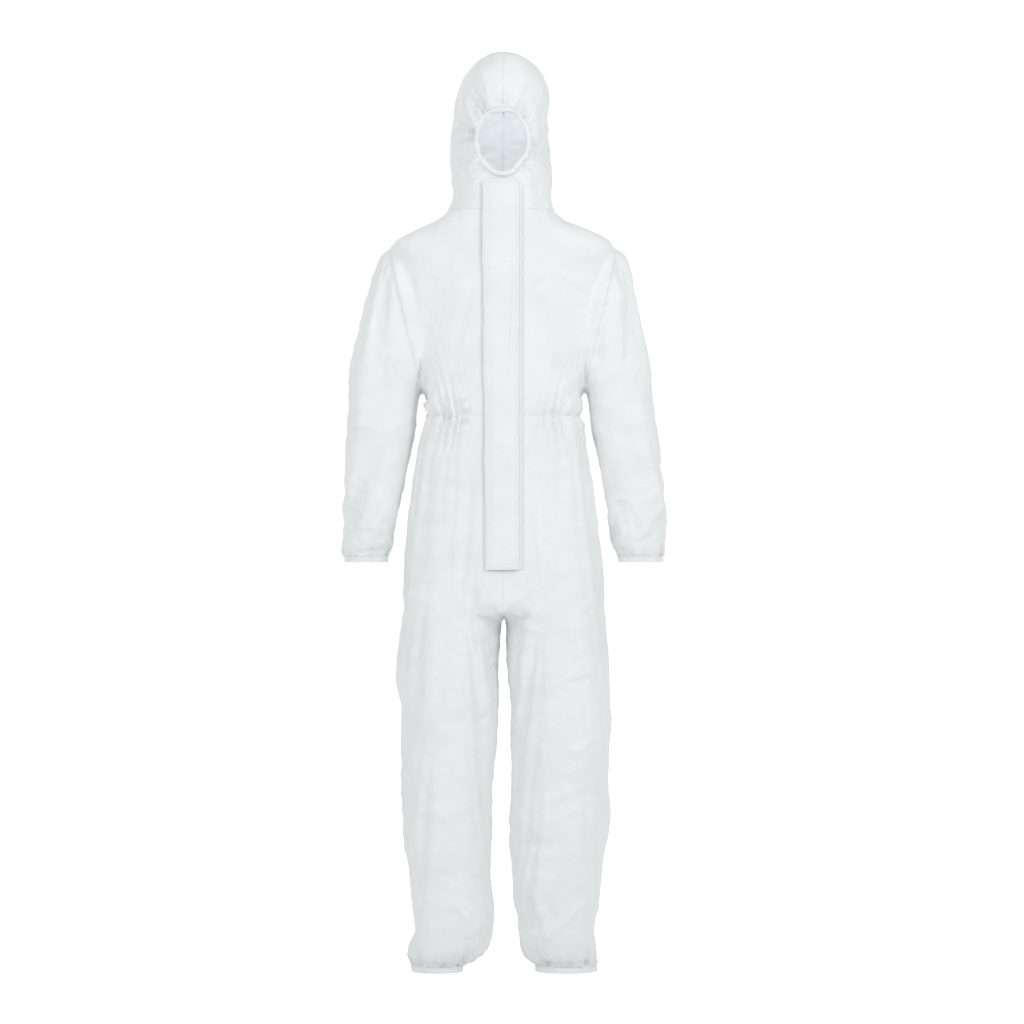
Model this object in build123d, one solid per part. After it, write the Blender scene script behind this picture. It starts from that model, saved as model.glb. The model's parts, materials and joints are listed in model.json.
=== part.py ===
"""A hooded protective coverall, standing as if worn. In millimetres.

+Z is up, the front faces -Y, and +X is the wearer's left.

The origin is on the wearer's shoulders: on the body's centre line, at the height of the neck seam.
Every panel is a shell one fabric thick.
Rings of loose fabric cross the neck, shoulders, elbows, hips and knees.
"""

from build123d import *
import math
import os

# ---- fabric and elastic ----
FABRIC = 1.0            # effective thickness of the laminate with its crinkle
ELASTIC = 0.8           # thickness of every elastic band
ELASTIC_WIDTH = 8.0     # width of the cuff, ankle and face elastics
WAIST_ELASTIC_WIDTH = 14.0
HEM = 12.0              # width of the cuff and ankle hems
CLEAR = 0.4             # gap between pieces that move past each other

# ---- heights, from the neck seam ----
HOOD_HEIGHT = 305.0
HOOD_BASE = 54.0        # lower edge of the hood's own panels
HOOD_PIVOT_RISE = 35.0
SHOULDER_DROP = 78.0
UNDERARM_DROP = 315.0
WAIST_DROP = 383.0
HIP_DROP = 650.0
CROTCH_DROP = 757.0
KNEE_DROP = 1100.0
HEM_DROP = 1455.0
ELBOW_DROP = 430.0
CUFF_DROP = 672.0
ZIP_TOP = 50.0          # above the neck seam
FLAP_ABOVE_TOP = 5.0    # the flap passes the zip's top by this much
ZIP_BOTTOM_DROP = 672.0
FLAP_BOTTOM_DROP = 686.0

# ---- half widths (along X) and half depths (along Y) ----
NECK_HALF_WIDTH = 90.0
NECK_HALF_DEPTH = 82.0
NECK = (NECK_HALF_WIDTH, NECK_HALF_DEPTH)
CHEST_HALF_DEPTH = 118.0
WAIST_HALF_WIDTH = 150.0
WAIST_HALF_DEPTH = 98.0
WAIST = (WAIST_HALF_WIDTH, WAIST_HALF_DEPTH)
HIP_HALF_WIDTH = 190.0
HIP_HALF_DEPTH = 122.0
HIP = (HIP_HALF_WIDTH, HIP_HALF_DEPTH)
CROTCH_HALF_WIDTH = 195.0
CROTCH_HALF_DEPTH = 112.0
CROTCH = (CROTCH_HALF_WIDTH, CROTCH_HALF_DEPTH)
THIGH_HALF_WIDTH = 96.0
THIGH_HALF_DEPTH = 104.0
THIGH = (THIGH_HALF_WIDTH, THIGH_HALF_DEPTH)
KNEE_HALF_WIDTH = 91.0
KNEE_HALF_DEPTH = 93.0
KNEE = (KNEE_HALF_WIDTH, KNEE_HALF_DEPTH)
SHIN_HALF_WIDTH = 83.0
SHIN_HALF_DEPTH = 86.0
SHIN = (SHIN_HALF_WIDTH, SHIN_HALF_DEPTH)
ANKLE_HALF_WIDTH = 76.0
ANKLE_HALF_DEPTH = 80.0
ANKLE = (ANKLE_HALF_WIDTH, ANKLE_HALF_DEPTH)
LEG_OPENING_HALF_WIDTH = 56.0
LEG_OPENING_HALF_DEPTH = 52.0
LEG_OPENING = (LEG_OPENING_HALF_WIDTH, LEG_OPENING_HALF_DEPTH)
ARM_HALF_WIDTH = 68.0
ARM_HALF_DEPTH = 68.0
ARM = (ARM_HALF_WIDTH, ARM_HALF_DEPTH)
FOREARM_HALF_WIDTH = 58.0
FOREARM_HALF_DEPTH = 57.0
FOREARM = (FOREARM_HALF_WIDTH, FOREARM_HALF_DEPTH)
CUFF_HALF_WIDTH = 43.0
CUFF_HALF_DEPTH = 40.0
CUFF = (CUFF_HALF_WIDTH, CUFF_HALF_DEPTH)
HOOD_HALF_WIDTH = 96.0
HOOD_HALF_DEPTH = 122.0
HOOD = (HOOD_HALF_WIDTH, HOOD_HALF_DEPTH)
FACE_HALF_WIDTH = 46.0
FACE_HALF_HEIGHT = 58.0
FACE_CENTRE = 128.0     # height of the face opening's middle
FACE_HEM = 8.0          # width of the hem round the face opening

# ---- limb axes ----
SHOULDER_HALF = 217.0   # centre line to the shoulder point
UNDERARM_HALF = 162.0
ARMHOLE_HALF_DEPTH = 92.0
ARM_HALF = 234.0        # centre line to the middle of the sleeve, at the elbow
CUFF_HALF = 264.0
LEG_HALF = 107.0        # centre line to the middle of the leg, at the knee
LEG_GAP = 3.0           # half the gap between the legs at the crotch
ANKLE_HALF = 103.0
SLEEVE_PIVOT_DROP = 55.0  # shoulder point to the sleeve's turning point, down the armhole
SLEEVE_JOIN = 14.0        # underarm to the level where the sleeve hangs free

# ---- the straight front line that carries the zip ----
FRONT_AT_ZIP_TOP = -100.0
FRONT_AT_ZIP_BOTTOM = -125.0
SIDE_SEAM = 0.0         # Y of the side and shoulder seams

# ---- zip ----
TAPE_WIDTH = 10.0
TAPE = 0.5
TAPE_GAP = 1.8          # centre line to the edge of each tape
SLOT_HALF = 6.5         # half the opening between the front panels' edges
BEAD = 1.0              # radius of the cord that the teeth grip
TOOTH_PITCH = 5.0
TOOTH_HEIGHT = 2.2
TOOTH_REACH = 1.0       # how far a tooth passes the centre line
TOOTH_ROOT = 3.6
TOOTH_HALF_DEPTH = 1.4
BEAD_SET_BACK = 0.3     # tooth face to bead face
STOP_LENGTH = 4.0
SLIDER_HALF_WIDTH = 4.8
SLIDER_LENGTH = 12.0
SLIDER_PLATE = 1.0
SLIDER_GAP = 0.3        # slider to teeth
RAIL = 0.8
WEDGE_HALF = 1.2
WEDGE_LENGTH = 4.0
LUG_PIN = 0.7           # radius of the bar that carries the pull
LUG_STAND_OFF = 1.2     # slider plate to that bar's lower side
LUG_HALF_WIDTH = 2.4
LUG_LEG = 0.8
PULL_LENGTH = 26.0
PULL_WIDTH = 7.0
PULL_THICKNESS = 1.4
PULL_EYE = 2.0          # outer radius of the pull's eye
PULL_HOLE = 0.78
PULL_SLOT_WIDTH = 3.0
PULL_SLOT_LENGTH = 9.0

# ---- storm flap ----
FLAP_FREE = -36.0       # X of the free edge
FLAP_SEWN = 31.0        # X of the fold beside the stitching
FLAP_RISE = 7.6         # the flap's crown, in front of the tapes
FLAP_SHOULDER = 9.0     # width of each sloping side
FLAP = 1.2              # two layers of fabric
FLAP_EDGE = 2.3         # the flap's edges, in front of the tapes
SEWN_STRIP = 6.0
SEWN_STRIP_THICKNESS = 0.5
SEWN_GAP = 1.2          # from the flap's fold to the sewn strip, for the flap to swing over
SEWN_SINK = 0.36        # the sewn strip's face lies this far behind the flap's hinge line
ADHESIVE_WIDTH = 8.0
ADHESIVE = 0.4
FLAP_BELOW_TOP = 4.0    # the sewn strip stops this far below the zip's top

# ---- motion, in degrees ----
SHOULDER_RAISE = 60.0
ELBOW_BEND = 70.0
HIP_FORWARD = 45.0
HIP_BACK = 15.0
KNEE_BEND = 80.0
HOOD_BACK = 20.0
NECK_RING = 10.0        # the half angle of the neck's ring in front
MARGIN = 2.0            # the fabric rings are this much wider than the motion, each side
RING = 5.0              # the half angle of a ring on the side that only opens

REACH = 600.0           # longer than any cutting tool needs

LEFT, RIGHT = 1, -1
SIDES = {"right": RIGHT, "left": LEFT}


def front_y(z):
    """Y of the straight front line at height z."""
    share = (z + FLAP_BOTTOM_DROP) / (ZIP_TOP + FLAP_BOTTOM_DROP)
    return FRONT_AT_ZIP_BOTTOM + share * (FRONT_AT_ZIP_TOP - FRONT_AT_ZIP_BOTTOM)


# The sleeves hang in line with the middle of the chest.
ARM_BACK = front_y(-(SHOULDER_DROP + UNDERARM_DROP) / 2) + CHEST_HALF_DEPTH
ZIP_TILT = math.degrees(math.atan2(FRONT_AT_ZIP_TOP - FRONT_AT_ZIP_BOTTOM, ZIP_TOP + FLAP_BOTTOM_DROP))
# The zip's own frame: X to the wearer's left, Z up the zip, Y into the suit, and the tapes' mid plane at Y 0.
TAPE_BEHIND = FABRIC + 0.8 + TAPE / 2
ZIP_FRAME = Location((0, front_y(0) + TAPE_BEHIND, 0), (-ZIP_TILT, 0, 0))
ZIP_LENGTHS = 1 / math.cos(math.radians(ZIP_TILT))


def along_zip(drop):
    """Position along the zip's own Z axis of a height, given as a drop below the neck seam."""
    return -drop * ZIP_LENGTHS


# ---- shells ----
def oval(centre, half_width, half_depth, tilt=0.0):
    """An oval face. Its plane is level, turned by tilt degrees about Y."""
    turn = math.radians(tilt)
    plane = Plane(
        origin=centre,
        x_dir=(math.cos(turn), 0, math.sin(turn)),
        z_dir=(-math.sin(turn), 0, math.cos(turn)),
    )
    starts = (0, 90, 180, 270)
    quarters = [EllipticalCenterArc((0, 0), half_width, half_depth, start, arc_size=90) for start in starts]
    return plane * make_face(quarters)


def solid_through(stations, inset=0.0):
    """The solid through a list of (centre, half width, half depth, tilt), drawn in by inset."""
    return loft([oval(c, a - inset, b - inset, tilt) for c, a, b, tilt in stations], ruled=True)


def shell_through(stations, outer=0.0, inner=FABRIC):
    """A tube between two insets of the same stations, open at both ends."""
    return solid_through(stations, outer) - solid_through(stations, inner)


def slab(low, high):
    """Everything between two heights."""
    return Pos(0, 0, (low + high) / 2) * Box(2 * REACH, 2 * REACH, high - low)


def side_of(axis, sign, limit=0.0):
    """The half space where the axis' coordinate is beyond limit, on the side of sign."""
    size = 4 * REACH
    middle = limit + sign * size / 2
    x, y = (middle, 0) if axis == "x" else (0, middle)
    return Pos(x, y, -CROTCH_DROP) * Box(size, size, size)


def sector(plane, start, end, reach=REACH):
    """A wedge about the plane's normal, through its origin, from one angle to another in degrees."""
    steps = 4
    angles = [math.radians(start + (end - start) * i / steps) for i in range(steps + 1)]
    rim = [(reach * math.cos(a), reach * math.sin(a)) for a in angles]
    return extrude(plane * make_face(Polyline((0, 0), *rim, close=True)), amount=REACH, both=True)


def pieces(shape):
    """The separate solids of a shape, highest first."""
    return sorted(shape.solids(), key=lambda s: -s.center().Z)


# ---- stations ----
def torso_station(z, half_width, half_depth):
    """A torso section whose front touches the straight front line."""
    return ((0, front_y(z) + half_depth, z), half_width, half_depth, 0)


def torso_stations():
    underarm = UNDERARM_HALF - CLEAR
    armhole_half = (SHOULDER_HALF + UNDERARM_HALF) / 2
    # Above the underarm the section is as wide as torso and arms together, and the armhole plane trims it.
    spread = armhole_half / math.sqrt(1 - (ARMHOLE_HALF_DEPTH / CHEST_HALF_DEPTH) ** 2)
    mid_armhole = -(SHOULDER_DROP + UNDERARM_DROP) / 2
    slope = (SHOULDER_HALF - NECK[0]) / SHOULDER_DROP
    return [
        torso_station(-CROTCH_DROP, *CROTCH),
        torso_station(-HIP_DROP, *HIP),
        torso_station(-(2 * HIP_DROP + WAIST_DROP) / 3, HIP[0] - 8, HIP[1] - 6),
        torso_station(-(HIP_DROP + 3 * WAIST_DROP) / 4, WAIST[0] + 11, WAIST[1] + 12),
        torso_station(-WAIST_DROP, *WAIST),
        torso_station(-UNDERARM_DROP - 20, underarm - 5, CHEST_HALF_DEPTH - 4),
        torso_station(-UNDERARM_DROP, underarm, CHEST_HALF_DEPTH),
        torso_station(mid_armhole, spread, CHEST_HALF_DEPTH),
        torso_station(-SHOULDER_DROP - 20, SHOULDER_HALF + 25, CHEST_HALF_DEPTH - 16),
        torso_station(-SHOULDER_DROP / 2, NECK[0] + slope * SHOULDER_DROP / 2, NECK[1] + 8),
        torso_station(0, *NECK),
    ]


def neck_stations():
    return [
        torso_station(0, *NECK),
        torso_station(HOOD_BASE / 2, NECK[0] + 2, NECK[1] + 6),
        ((0, front_y(HOOD_BASE) + HOOD[1] - 12, HOOD_BASE), HOOD[0] - 1, HOOD[1] - 12, 0),
    ]


def hood_stations():
    base_y = front_y(HOOD_BASE)
    brow = FACE_CENTRE + FACE_HALF_HEIGHT
    rise = HOOD_HEIGHT - brow
    return [
        ((0, base_y + HOOD[1] - 12, HOOD_BASE), HOOD[0] - 1, HOOD[1] - 12, 0),
        ((0, base_y + HOOD[1], FACE_CENTRE), HOOD[0], HOOD[1], 0),
        ((0, base_y + HOOD[1] + 8, brow), HOOD[0] - 4, HOOD[1] - 2, 0),
        ((0, base_y + HOOD[1] + 12, brow + 0.5 * rise), HOOD[0] - 17, HOOD[1] - 18, 0),
        ((0, base_y + HOOD[1] + 15, brow + 0.82 * rise), HOOD[0] - 45, HOOD[1] - 48, 0),
        ((0, base_y + HOOD[1] + 15, HOOD_HEIGHT), HOOD[0] - 84, HOOD[1] - 98, 0),
    ]


ARMHOLE_LENGTH = math.hypot(SHOULDER_HALF - UNDERARM_HALF, UNDERARM_DROP - SHOULDER_DROP)
ARMHOLE_TILT = math.degrees(math.atan2(UNDERARM_DROP - SHOULDER_DROP, SHOULDER_HALF - UNDERARM_HALF))


def shoulder_pivot():
    """(x, z) of the left sleeve's turning point, on the armhole's plane."""
    share = SLEEVE_PIVOT_DROP / ARMHOLE_LENGTH
    x = SHOULDER_HALF + share * (UNDERARM_HALF - SHOULDER_HALF)
    return x, -SHOULDER_DROP + share * (SHOULDER_DROP - UNDERARM_DROP)


def sleeve_stations(side):
    """The sleeve's sections, from the armhole down to the cuff."""
    elbow_in, elbow_out = ARM_HALF - ARM[0], ARM_HALF + ARM[0]
    below = -(UNDERARM_DROP + SLEEVE_JOIN)
    forearm_z = -(ELBOW_DROP + CUFF_DROP) / 2
    gather_z = -(CUFF_DROP - 2.4 * HEM)

    def across(inner, outer, half_depth):
        """A section between its inner and outer ends."""
        (x1, z1), (x2, z2) = inner, outer
        half_width = math.hypot(x2 - x1, z2 - z1) / 2
        tilt = math.degrees(math.atan2(z2 - z1, x2 - x1))
        return (x1 + x2) / 2, (z1 + z2) / 2, half_width, half_depth, tilt

    def over_shoulder(out, down):
        """A point on the sleeve's outer line, between the shoulder point and the upper arm."""
        x = SHOULDER_HALF + out * (elbow_out - 3 - SHOULDER_HALF)
        return x, -SHOULDER_DROP + down * (SHOULDER_DROP + below)

    def down_the_arm(z):
        return ARM_HALF + (CUFF_HALF - ARM_HALF) * (z + ELBOW_DROP) / (ELBOW_DROP - CUFF_DROP)

    rows = [
        across((UNDERARM_HALF, -UNDERARM_DROP), over_shoulder(0, 0), ARMHOLE_HALF_DEPTH),
        across((UNDERARM_HALF, -UNDERARM_DROP - 4), over_shoulder(0.55, 0.15), ARMHOLE_HALF_DEPTH - 9),
        across((UNDERARM_HALF, -UNDERARM_DROP - 9), over_shoulder(0.84, 0.53), ARM[1] + 6),
        across((elbow_in, below), (elbow_out - 3, below), ARM[1] + 1),
        (ARM_HALF, -ELBOW_DROP, *ARM, 0),
        (down_the_arm(forearm_z), forearm_z, *FOREARM, 0),
        (down_the_arm(gather_z), gather_z, FOREARM[0] - 6, FOREARM[1] - 5, 0),
        (CUFF_HALF, -CUFF_DROP + HEM, *CUFF, 0),
        (CUFF_HALF, -CUFF_DROP, *CUFF, 0),
    ]
    return [((side * x, ARM_BACK, z), a, b, side * tilt) for x, z, a, b, tilt in rows]


def leg_stations(side):
    """The leg's sections, from the crotch down to the ankle hem."""
    gather_z = -(HEM_DROP - 2.6 * HEM)
    rows = [
        (LEG_GAP + THIGH[0], -CROTCH_DROP, *THIGH),
        (LEG_HALF, -(2 * CROTCH_DROP + KNEE_DROP) / 3, THIGH[0] - 1, THIGH[1] - 3),
        (LEG_HALF, -KNEE_DROP, *KNEE),
        (LEG_HALF, -(2 * KNEE_DROP + HEM_DROP) / 3, KNEE[0] - 3, KNEE[1] - 2),
        ((LEG_HALF + ANKLE_HALF) / 2, -(KNEE_DROP + 2 * HEM_DROP) / 3, *SHIN),
        (ANKLE_HALF, gather_z, *ANKLE),
        (ANKLE_HALF, -HEM_DROP + HEM, *LEG_OPENING),
        (ANKLE_HALF, -HEM_DROP, *LEG_OPENING),
    ]
    leg_y = front_y(-CROTCH_DROP) + CROTCH[1]
    return [((side * x, leg_y, z), a, b, 0) for x, z, a, b in rows]


# ---- turning points: (x, y, z) for the left side ----
LEG_Y = front_y(-CROTCH_DROP) + CROTCH[1]
SHOULDER_PIVOT = (shoulder_pivot()[0], ARM_BACK, shoulder_pivot()[1])
ELBOW_PIVOT = (ARM_HALF, ARM_BACK + 8, -ELBOW_DROP)
HIP_PIVOT = (LEG_HALF, LEG_Y, -CROTCH_DROP)
KNEE_PIVOT = (LEG_HALF, LEG_Y - 8, -KNEE_DROP)
HOOD_PIVOT = (0, front_y(0) + NECK[1], HOOD_PIVOT_RISE)


def hinge_plane(point):
    """Angles are measured from straight forward, and positive is upward."""
    return Plane(origin=point, x_dir=(0, -1, 0), z_dir=(-1, 0, 0))


def bend_ring(point, forward, backward):
    """Where fabric bends about an X axis: a wedge in front as wide as the forward turn, and one behind."""
    front, back = forward / 2 + MARGIN, backward / 2 + MARGIN
    plane = hinge_plane(point)
    return sector(plane, -front, front) + sector(plane, 180 - back, 180 + back)


def shoulder_ring(side):
    """Where fabric bends at the armhole: between the armhole's plane and the sleeve."""
    x, y, z = SHOULDER_PIVOT
    plane = Plane(origin=(side * x, y, z), x_dir=(side, 0, 0), z_dir=(0, -side, 0))
    top = ARMHOLE_TILT
    ring = sector(plane, top - SHOULDER_RAISE - 2 * MARGIN, top) + sector(plane, top + 180, top + 180 + RING)
    return ring & slab(-UNDERARM_DROP - SLEEVE_JOIN, REACH)


def beyond_armhole(side, gap=0.0):
    """Everything outside the armhole's plane."""
    turn = math.radians(ARMHOLE_TILT)
    plane = Plane(
        origin=(side * (SHOULDER_HALF + gap), 0, -SHOULDER_DROP),
        x_dir=(0, 1, 0),
        z_dir=(side * math.sin(turn), 0, -math.cos(turn)),
    )
    reach = UNDERARM_DROP + SHOULDER_HALF
    return extrude(plane * Rectangle(reach, 2 * reach), amount=reach) & slab(-UNDERARM_DROP, reach)


# ---- torso ----
def zip_slot():
    """The opening between the front panels' edges."""
    low, high = along_zip(FLAP_BOTTOM_DROP + 2), along_zip(-ZIP_TOP - HOOD_BASE)
    slot = Box(2 * SLOT_HALF, 30, high - low, align=(Align.CENTER, Align.CENTER, Align.MIN))
    return ZIP_FRAME * Pos(0, 0, low) * slot


def torso_panels(hip_ring):
    """The four torso panels."""
    shell = shell_through(torso_stations()) - hip_ring - zip_slot()
    for side in SIDES.values():
        shell -= beyond_armhole(side)
    shell &= slab(-CROTCH_DROP, 0)
    made = {}
    for name, side in SIDES.items():
        half = shell & side_of("x", side)
        made[f"front_{name}_panel"] = half & side_of("y", -1, SIDE_SEAM)
        made[f"back_{name}_panel"] = half & side_of("y", 1, SIDE_SEAM)
    return made


def waist_elastic():
    """The band glued inside the waist, open at the zip."""
    band = shell_through(torso_stations(), FABRIC, FABRIC + ELASTIC)
    half = WAIST_ELASTIC_WIDTH / 2
    band &= slab(-WAIST_DROP - half, -WAIST_DROP + half)
    opening = Box(2 * (TAPE_GAP + TAPE_WIDTH + 1), 60, 200)
    return band - Pos(0, front_y(-WAIST_DROP), -WAIST_DROP) * opening


def crotch_fabric():
    """The fabric that closes the torso between the tops of the legs."""
    (centre, half_width, half_depth, _) = torso_stations()[0]
    inset = FABRIC + CLEAR / 4
    plate = oval(centre, half_width - inset, half_depth - inset)
    for side in SIDES.values():
        leg_centre, a, b, _ = leg_stations(side)[0]
        plate -= oval(leg_centre, a - FABRIC, b - FABRIC)
    return extrude(plate, amount=FABRIC)


# ---- hood ----
def face_prism(grow):
    """The outline of the face opening, grown, run through the front of the hood."""
    plane = Plane(origin=(0, HOOD_PIVOT[1], FACE_CENTRE), x_dir=(1, 0, 0), z_dir=(0, -1, 0))
    return extrude(plane * Ellipse(FACE_HALF_WIDTH + grow, FACE_HALF_HEIGHT + grow), amount=REACH)


def hood_shell(outer=0.0, inner=FABRIC):
    """The hood with a closed crown, between two insets."""
    outside, inside = hood_stations(), hood_stations()
    (x, y, z), a, b, tilt = inside[-1]
    inside[-1] = ((x, y, z - inner), a, b, tilt)
    (x, y, z), a, b, tilt = outside[-1]
    outside[-1] = ((x, y, z - outer), a, b, tilt)
    return solid_through(outside, outer) - solid_through(inside, inner)


def hood_pieces(nod_ring):
    shell = hood_shell() - nod_ring
    hem = shell & (face_prism(FACE_HEM) - face_prism(0))
    cloth = shell - face_prism(FACE_HEM)
    inset = (FACE_HEM - ELASTIC_WIDTH / 2) / 2
    band = hood_shell(FABRIC, FABRIC + ELASTIC) - nod_ring
    elastic = band & (face_prism(FACE_HEM - inset) - face_prism(inset))
    return {
        "hood_right_panel": cloth & side_of("x", RIGHT),
        "hood_left_panel": cloth & side_of("x", LEFT),
        "face_hem": hem,
        "face_elastic": elastic,
    }


def neck_fabric(nod_ring):
    """The loose neck of the hood, open in front for the zip."""
    neck = shell_through(neck_stations())
    lower_hood = hood_shell() & nod_ring
    return (neck + lower_hood) - zip_slot() - face_prism(0)


# ---- the left sleeve and the left leg, which are mirrored for the right ----
def limb(stations, upper_ring, bend, names, end_z):
    """A limb's shell cut at its rings of fabric, with its hem and elastic at the end."""
    upper_name, lower_name, bend_name, end_name = names
    shell = shell_through(stations)
    upper, lower = pieces(shell - upper_ring - bend)[:2]
    hem = slab(end_z, end_z + HEM)
    middle = end_z + HEM / 2
    elastic = shell_through(stations, FABRIC, FABRIC + ELASTIC)
    return {
        upper_name: upper,
        lower_name: lower - hem,
        bend_name: shell & bend,
        f"{end_name}_hem": lower & hem,
        f"{end_name}_elastic": elastic & slab(middle - ELASTIC_WIDTH / 2, middle + ELASTIC_WIDTH / 2),
    }


def sleeve_pieces():
    ring = shoulder_ring(LEFT)
    bend = bend_ring(ELBOW_PIVOT, ELBOW_BEND, 2 * RING)
    names = ("upper_sleeve", "lower_sleeve", "elbow_fabric", "cuff")
    made = limb(sleeve_stations(LEFT), ring, bend, names, -CUFF_DROP)
    made["shoulder_fabric"] = shell_through(sleeve_stations(LEFT)) & ring
    return made


def split_at_side_seams(made, part):
    """Cuts one leg section into a front and a back panel."""
    tube = made.pop(part)
    made[f"{part}_front"] = tube & side_of("y", -1, LEG_Y)
    made[f"{part}_back"] = tube & side_of("y", 1, LEG_Y)


def leg_pieces(hip_ring):
    bend = bend_ring(KNEE_PIVOT, 2 * RING, KNEE_BEND)
    names = ("thigh", "shin", "knee_fabric", "ankle")
    made = limb(leg_stations(LEFT), hip_ring, bend, names, -HEM_DROP)
    split_at_side_seams(made, "thigh")
    split_at_side_seams(made, "shin")
    hip = shell_through(torso_stations()) & slab(-CROTCH_DROP, 0) & hip_ring & side_of("x", LEFT)
    top_of_leg = shell_through(leg_stations(LEFT)) & hip_ring
    made["hip_fabric"] = Compound(children=[*hip.solids(), *top_of_leg.solids()])
    return made


# ---- zip, in the zip's own frame ----
ZIP_LOW = along_zip(ZIP_BOTTOM_DROP)
ZIP_HIGH = along_zip(-ZIP_TOP)
CHAIN_HIGH = ZIP_HIGH - STOP_LENGTH - SLIDER_LENGTH / 2


def bar(x_low, x_high, y_low, y_high, z_low, z_high):
    """A box between two corners."""
    middle = ((x_low + x_high) / 2, (y_low + y_high) / 2, (z_low + z_high) / 2)
    return Pos(*middle) * Box(abs(x_high - x_low), y_high - y_low, z_high - z_low)


def zip_tape(side):
    edge = side * TAPE_GAP
    return bar(edge, edge + side * TAPE_WIDTH, -TAPE / 2, TAPE / 2, ZIP_LOW - STOP_LENGTH, ZIP_HIGH)


def zip_teeth(side):
    """One row of moulded teeth on its bead. The two rows mesh half a pitch apart."""
    bead_x = side * (TOOTH_ROOT - BEAD)
    bead_half = TOOTH_HALF_DEPTH - BEAD_SET_BACK
    bead = bar(bead_x - BEAD, bead_x + BEAD, -bead_half, bead_half, ZIP_LOW, CHAIN_HIGH)
    first = ZIP_LOW + (TOOTH_PITCH / 2 if side == LEFT else 0)
    count = int((CHAIN_HIGH - first - TOOTH_HEIGHT) / TOOTH_PITCH) + 1
    teeth = [
        bar(-side * TOOTH_REACH, side * TOOTH_ROOT, -TOOTH_HALF_DEPTH, TOOTH_HALF_DEPTH, z, z + TOOTH_HEIGHT)
        for z in (first + i * TOOTH_PITCH for i in range(count))
    ]
    edge, past = side * TAPE_GAP, side * (TOOTH_ROOT + 1)
    tape_room = bar(edge, past, -TAPE / 2, TAPE / 2, ZIP_LOW - 1, CHAIN_HIGH + 1)
    return bead + teeth - tape_room


def zip_stop(x_low, x_high, z_low):
    """A staple that grips the tapes' edges."""
    staple = bar(x_low, x_high, -TOOTH_HALF_DEPTH, TOOTH_HALF_DEPTH, z_low, z_low + STOP_LENGTH)
    z_high = z_low + STOP_LENGTH + 1
    for side in SIDES.values():
        edge, past = side * TAPE_GAP, side * (TAPE_GAP + TAPE_WIDTH)
        staple -= bar(edge, past, -TAPE / 2, TAPE / 2, z_low - 1, z_high)
    return staple


def zip_stops():
    inner, outer = TAPE_GAP - 0.5, TOOTH_ROOT
    top = [zip_stop(*sorted((side * inner, side * outer)), ZIP_HIGH - STOP_LENGTH) for side in SIDES.values()]
    bottom = zip_stop(-TOOTH_ROOT, TOOTH_ROOT, ZIP_LOW - STOP_LENGTH)
    return Compound(children=[s for shape in top for s in shape.solids()]), bottom


SLIDER_LOW = ZIP_HIGH - STOP_LENGTH - SLIDER_LENGTH
PLATE_INNER = TOOTH_HALF_DEPTH + SLIDER_GAP
PLATE_OUTER = PLATE_INNER + SLIDER_PLATE
PIN_Y = -(PLATE_OUTER + LUG_STAND_OFF + LUG_PIN)
PIN_Z = SLIDER_LOW + 0.62 * SLIDER_LENGTH


def zip_slider():
    """Two plates round the chain, joined by the wedge that parts the rows, with a lug for the pull."""
    low, high = SLIDER_LOW, SLIDER_LOW + SLIDER_LENGTH - CLEAR
    body = bar(-SLIDER_HALF_WIDTH, SLIDER_HALF_WIDTH, -PLATE_OUTER, PLATE_OUTER, low, high)
    corners = body.edges().filter_by(Axis.Y)
    body = fillet(corners, SLIDER_HALF_WIDTH / 3)
    inner = SLIDER_HALF_WIDTH - RAIL
    body -= bar(-inner, inner, -PLATE_INNER, PLATE_INNER, low - 1, high + 1)
    slit = TAPE / 2 + 0.2
    body -= bar(-2 * SLIDER_HALF_WIDTH, 2 * SLIDER_HALF_WIDTH, -slit, slit, low - 1, high + 1)
    point = Polyline((-WEDGE_HALF, high), (WEDGE_HALF, high), (0, high - WEDGE_LENGTH), close=True)
    wedge = extrude(Plane.XZ * make_face(point), amount=PLATE_INNER, both=True)
    lug_top = PIN_Y - LUG_PIN
    for side in SIDES.values():
        x = side * (LUG_HALF_WIDTH - LUG_LEG)
        leg = bar(x, x + side * LUG_LEG, lug_top, -PLATE_INNER, PIN_Z - 1.4 * LUG_PIN, PIN_Z + 1.4 * LUG_PIN)
        body += leg
    pin = Pos(0, PIN_Y, PIN_Z) * Rot(0, 90, 0) * Cylinder(LUG_PIN, 2 * LUG_HALF_WIDTH)
    return body + wedge + pin


def zip_pull():
    """The pull: an eye round the lug's bar, and a tab that hangs from it."""
    half_eye = LUG_HALF_WIDTH - LUG_LEG - CLEAR / 2
    eye = Rot(0, 90, 0) * Cylinder(PULL_EYE - 0.4, 2 * half_eye)
    tab_top = -PULL_EYE - 1.6
    half_tab, half_thick = PULL_WIDTH / 2, PULL_THICKNESS / 2
    neck = bar(-half_eye, half_eye, -half_thick, half_thick, tab_top - 1, 0)
    tab = bar(-half_tab, half_tab, -half_thick, half_thick, tab_top - PULL_LENGTH, tab_top)
    tab = fillet(tab.edges().filter_by(Axis.Y), PULL_WIDTH / 3)
    slot_z = tab_top - PULL_LENGTH + 0.4 * PULL_LENGTH
    slot = Plane.XZ * Pos(0, slot_z) * SlotOverall(PULL_SLOT_LENGTH, PULL_SLOT_WIDTH, rotation=90)
    tab -= extrude(slot, amount=PULL_THICKNESS, both=True)
    hole = Rot(0, 90, 0) * Cylinder(PULL_HOLE, 4 * LUG_HALF_WIDTH)
    return Pos(0, PIN_Y, PIN_Z) * (eye + neck + tab - hole)


# ---- storm flap, in the zip's own frame ----
FLAP_LOW = along_zip(FLAP_BOTTOM_DROP)
FLAP_HINGE = (FLAP_SEWN, -FLAP_EDGE)


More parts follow.
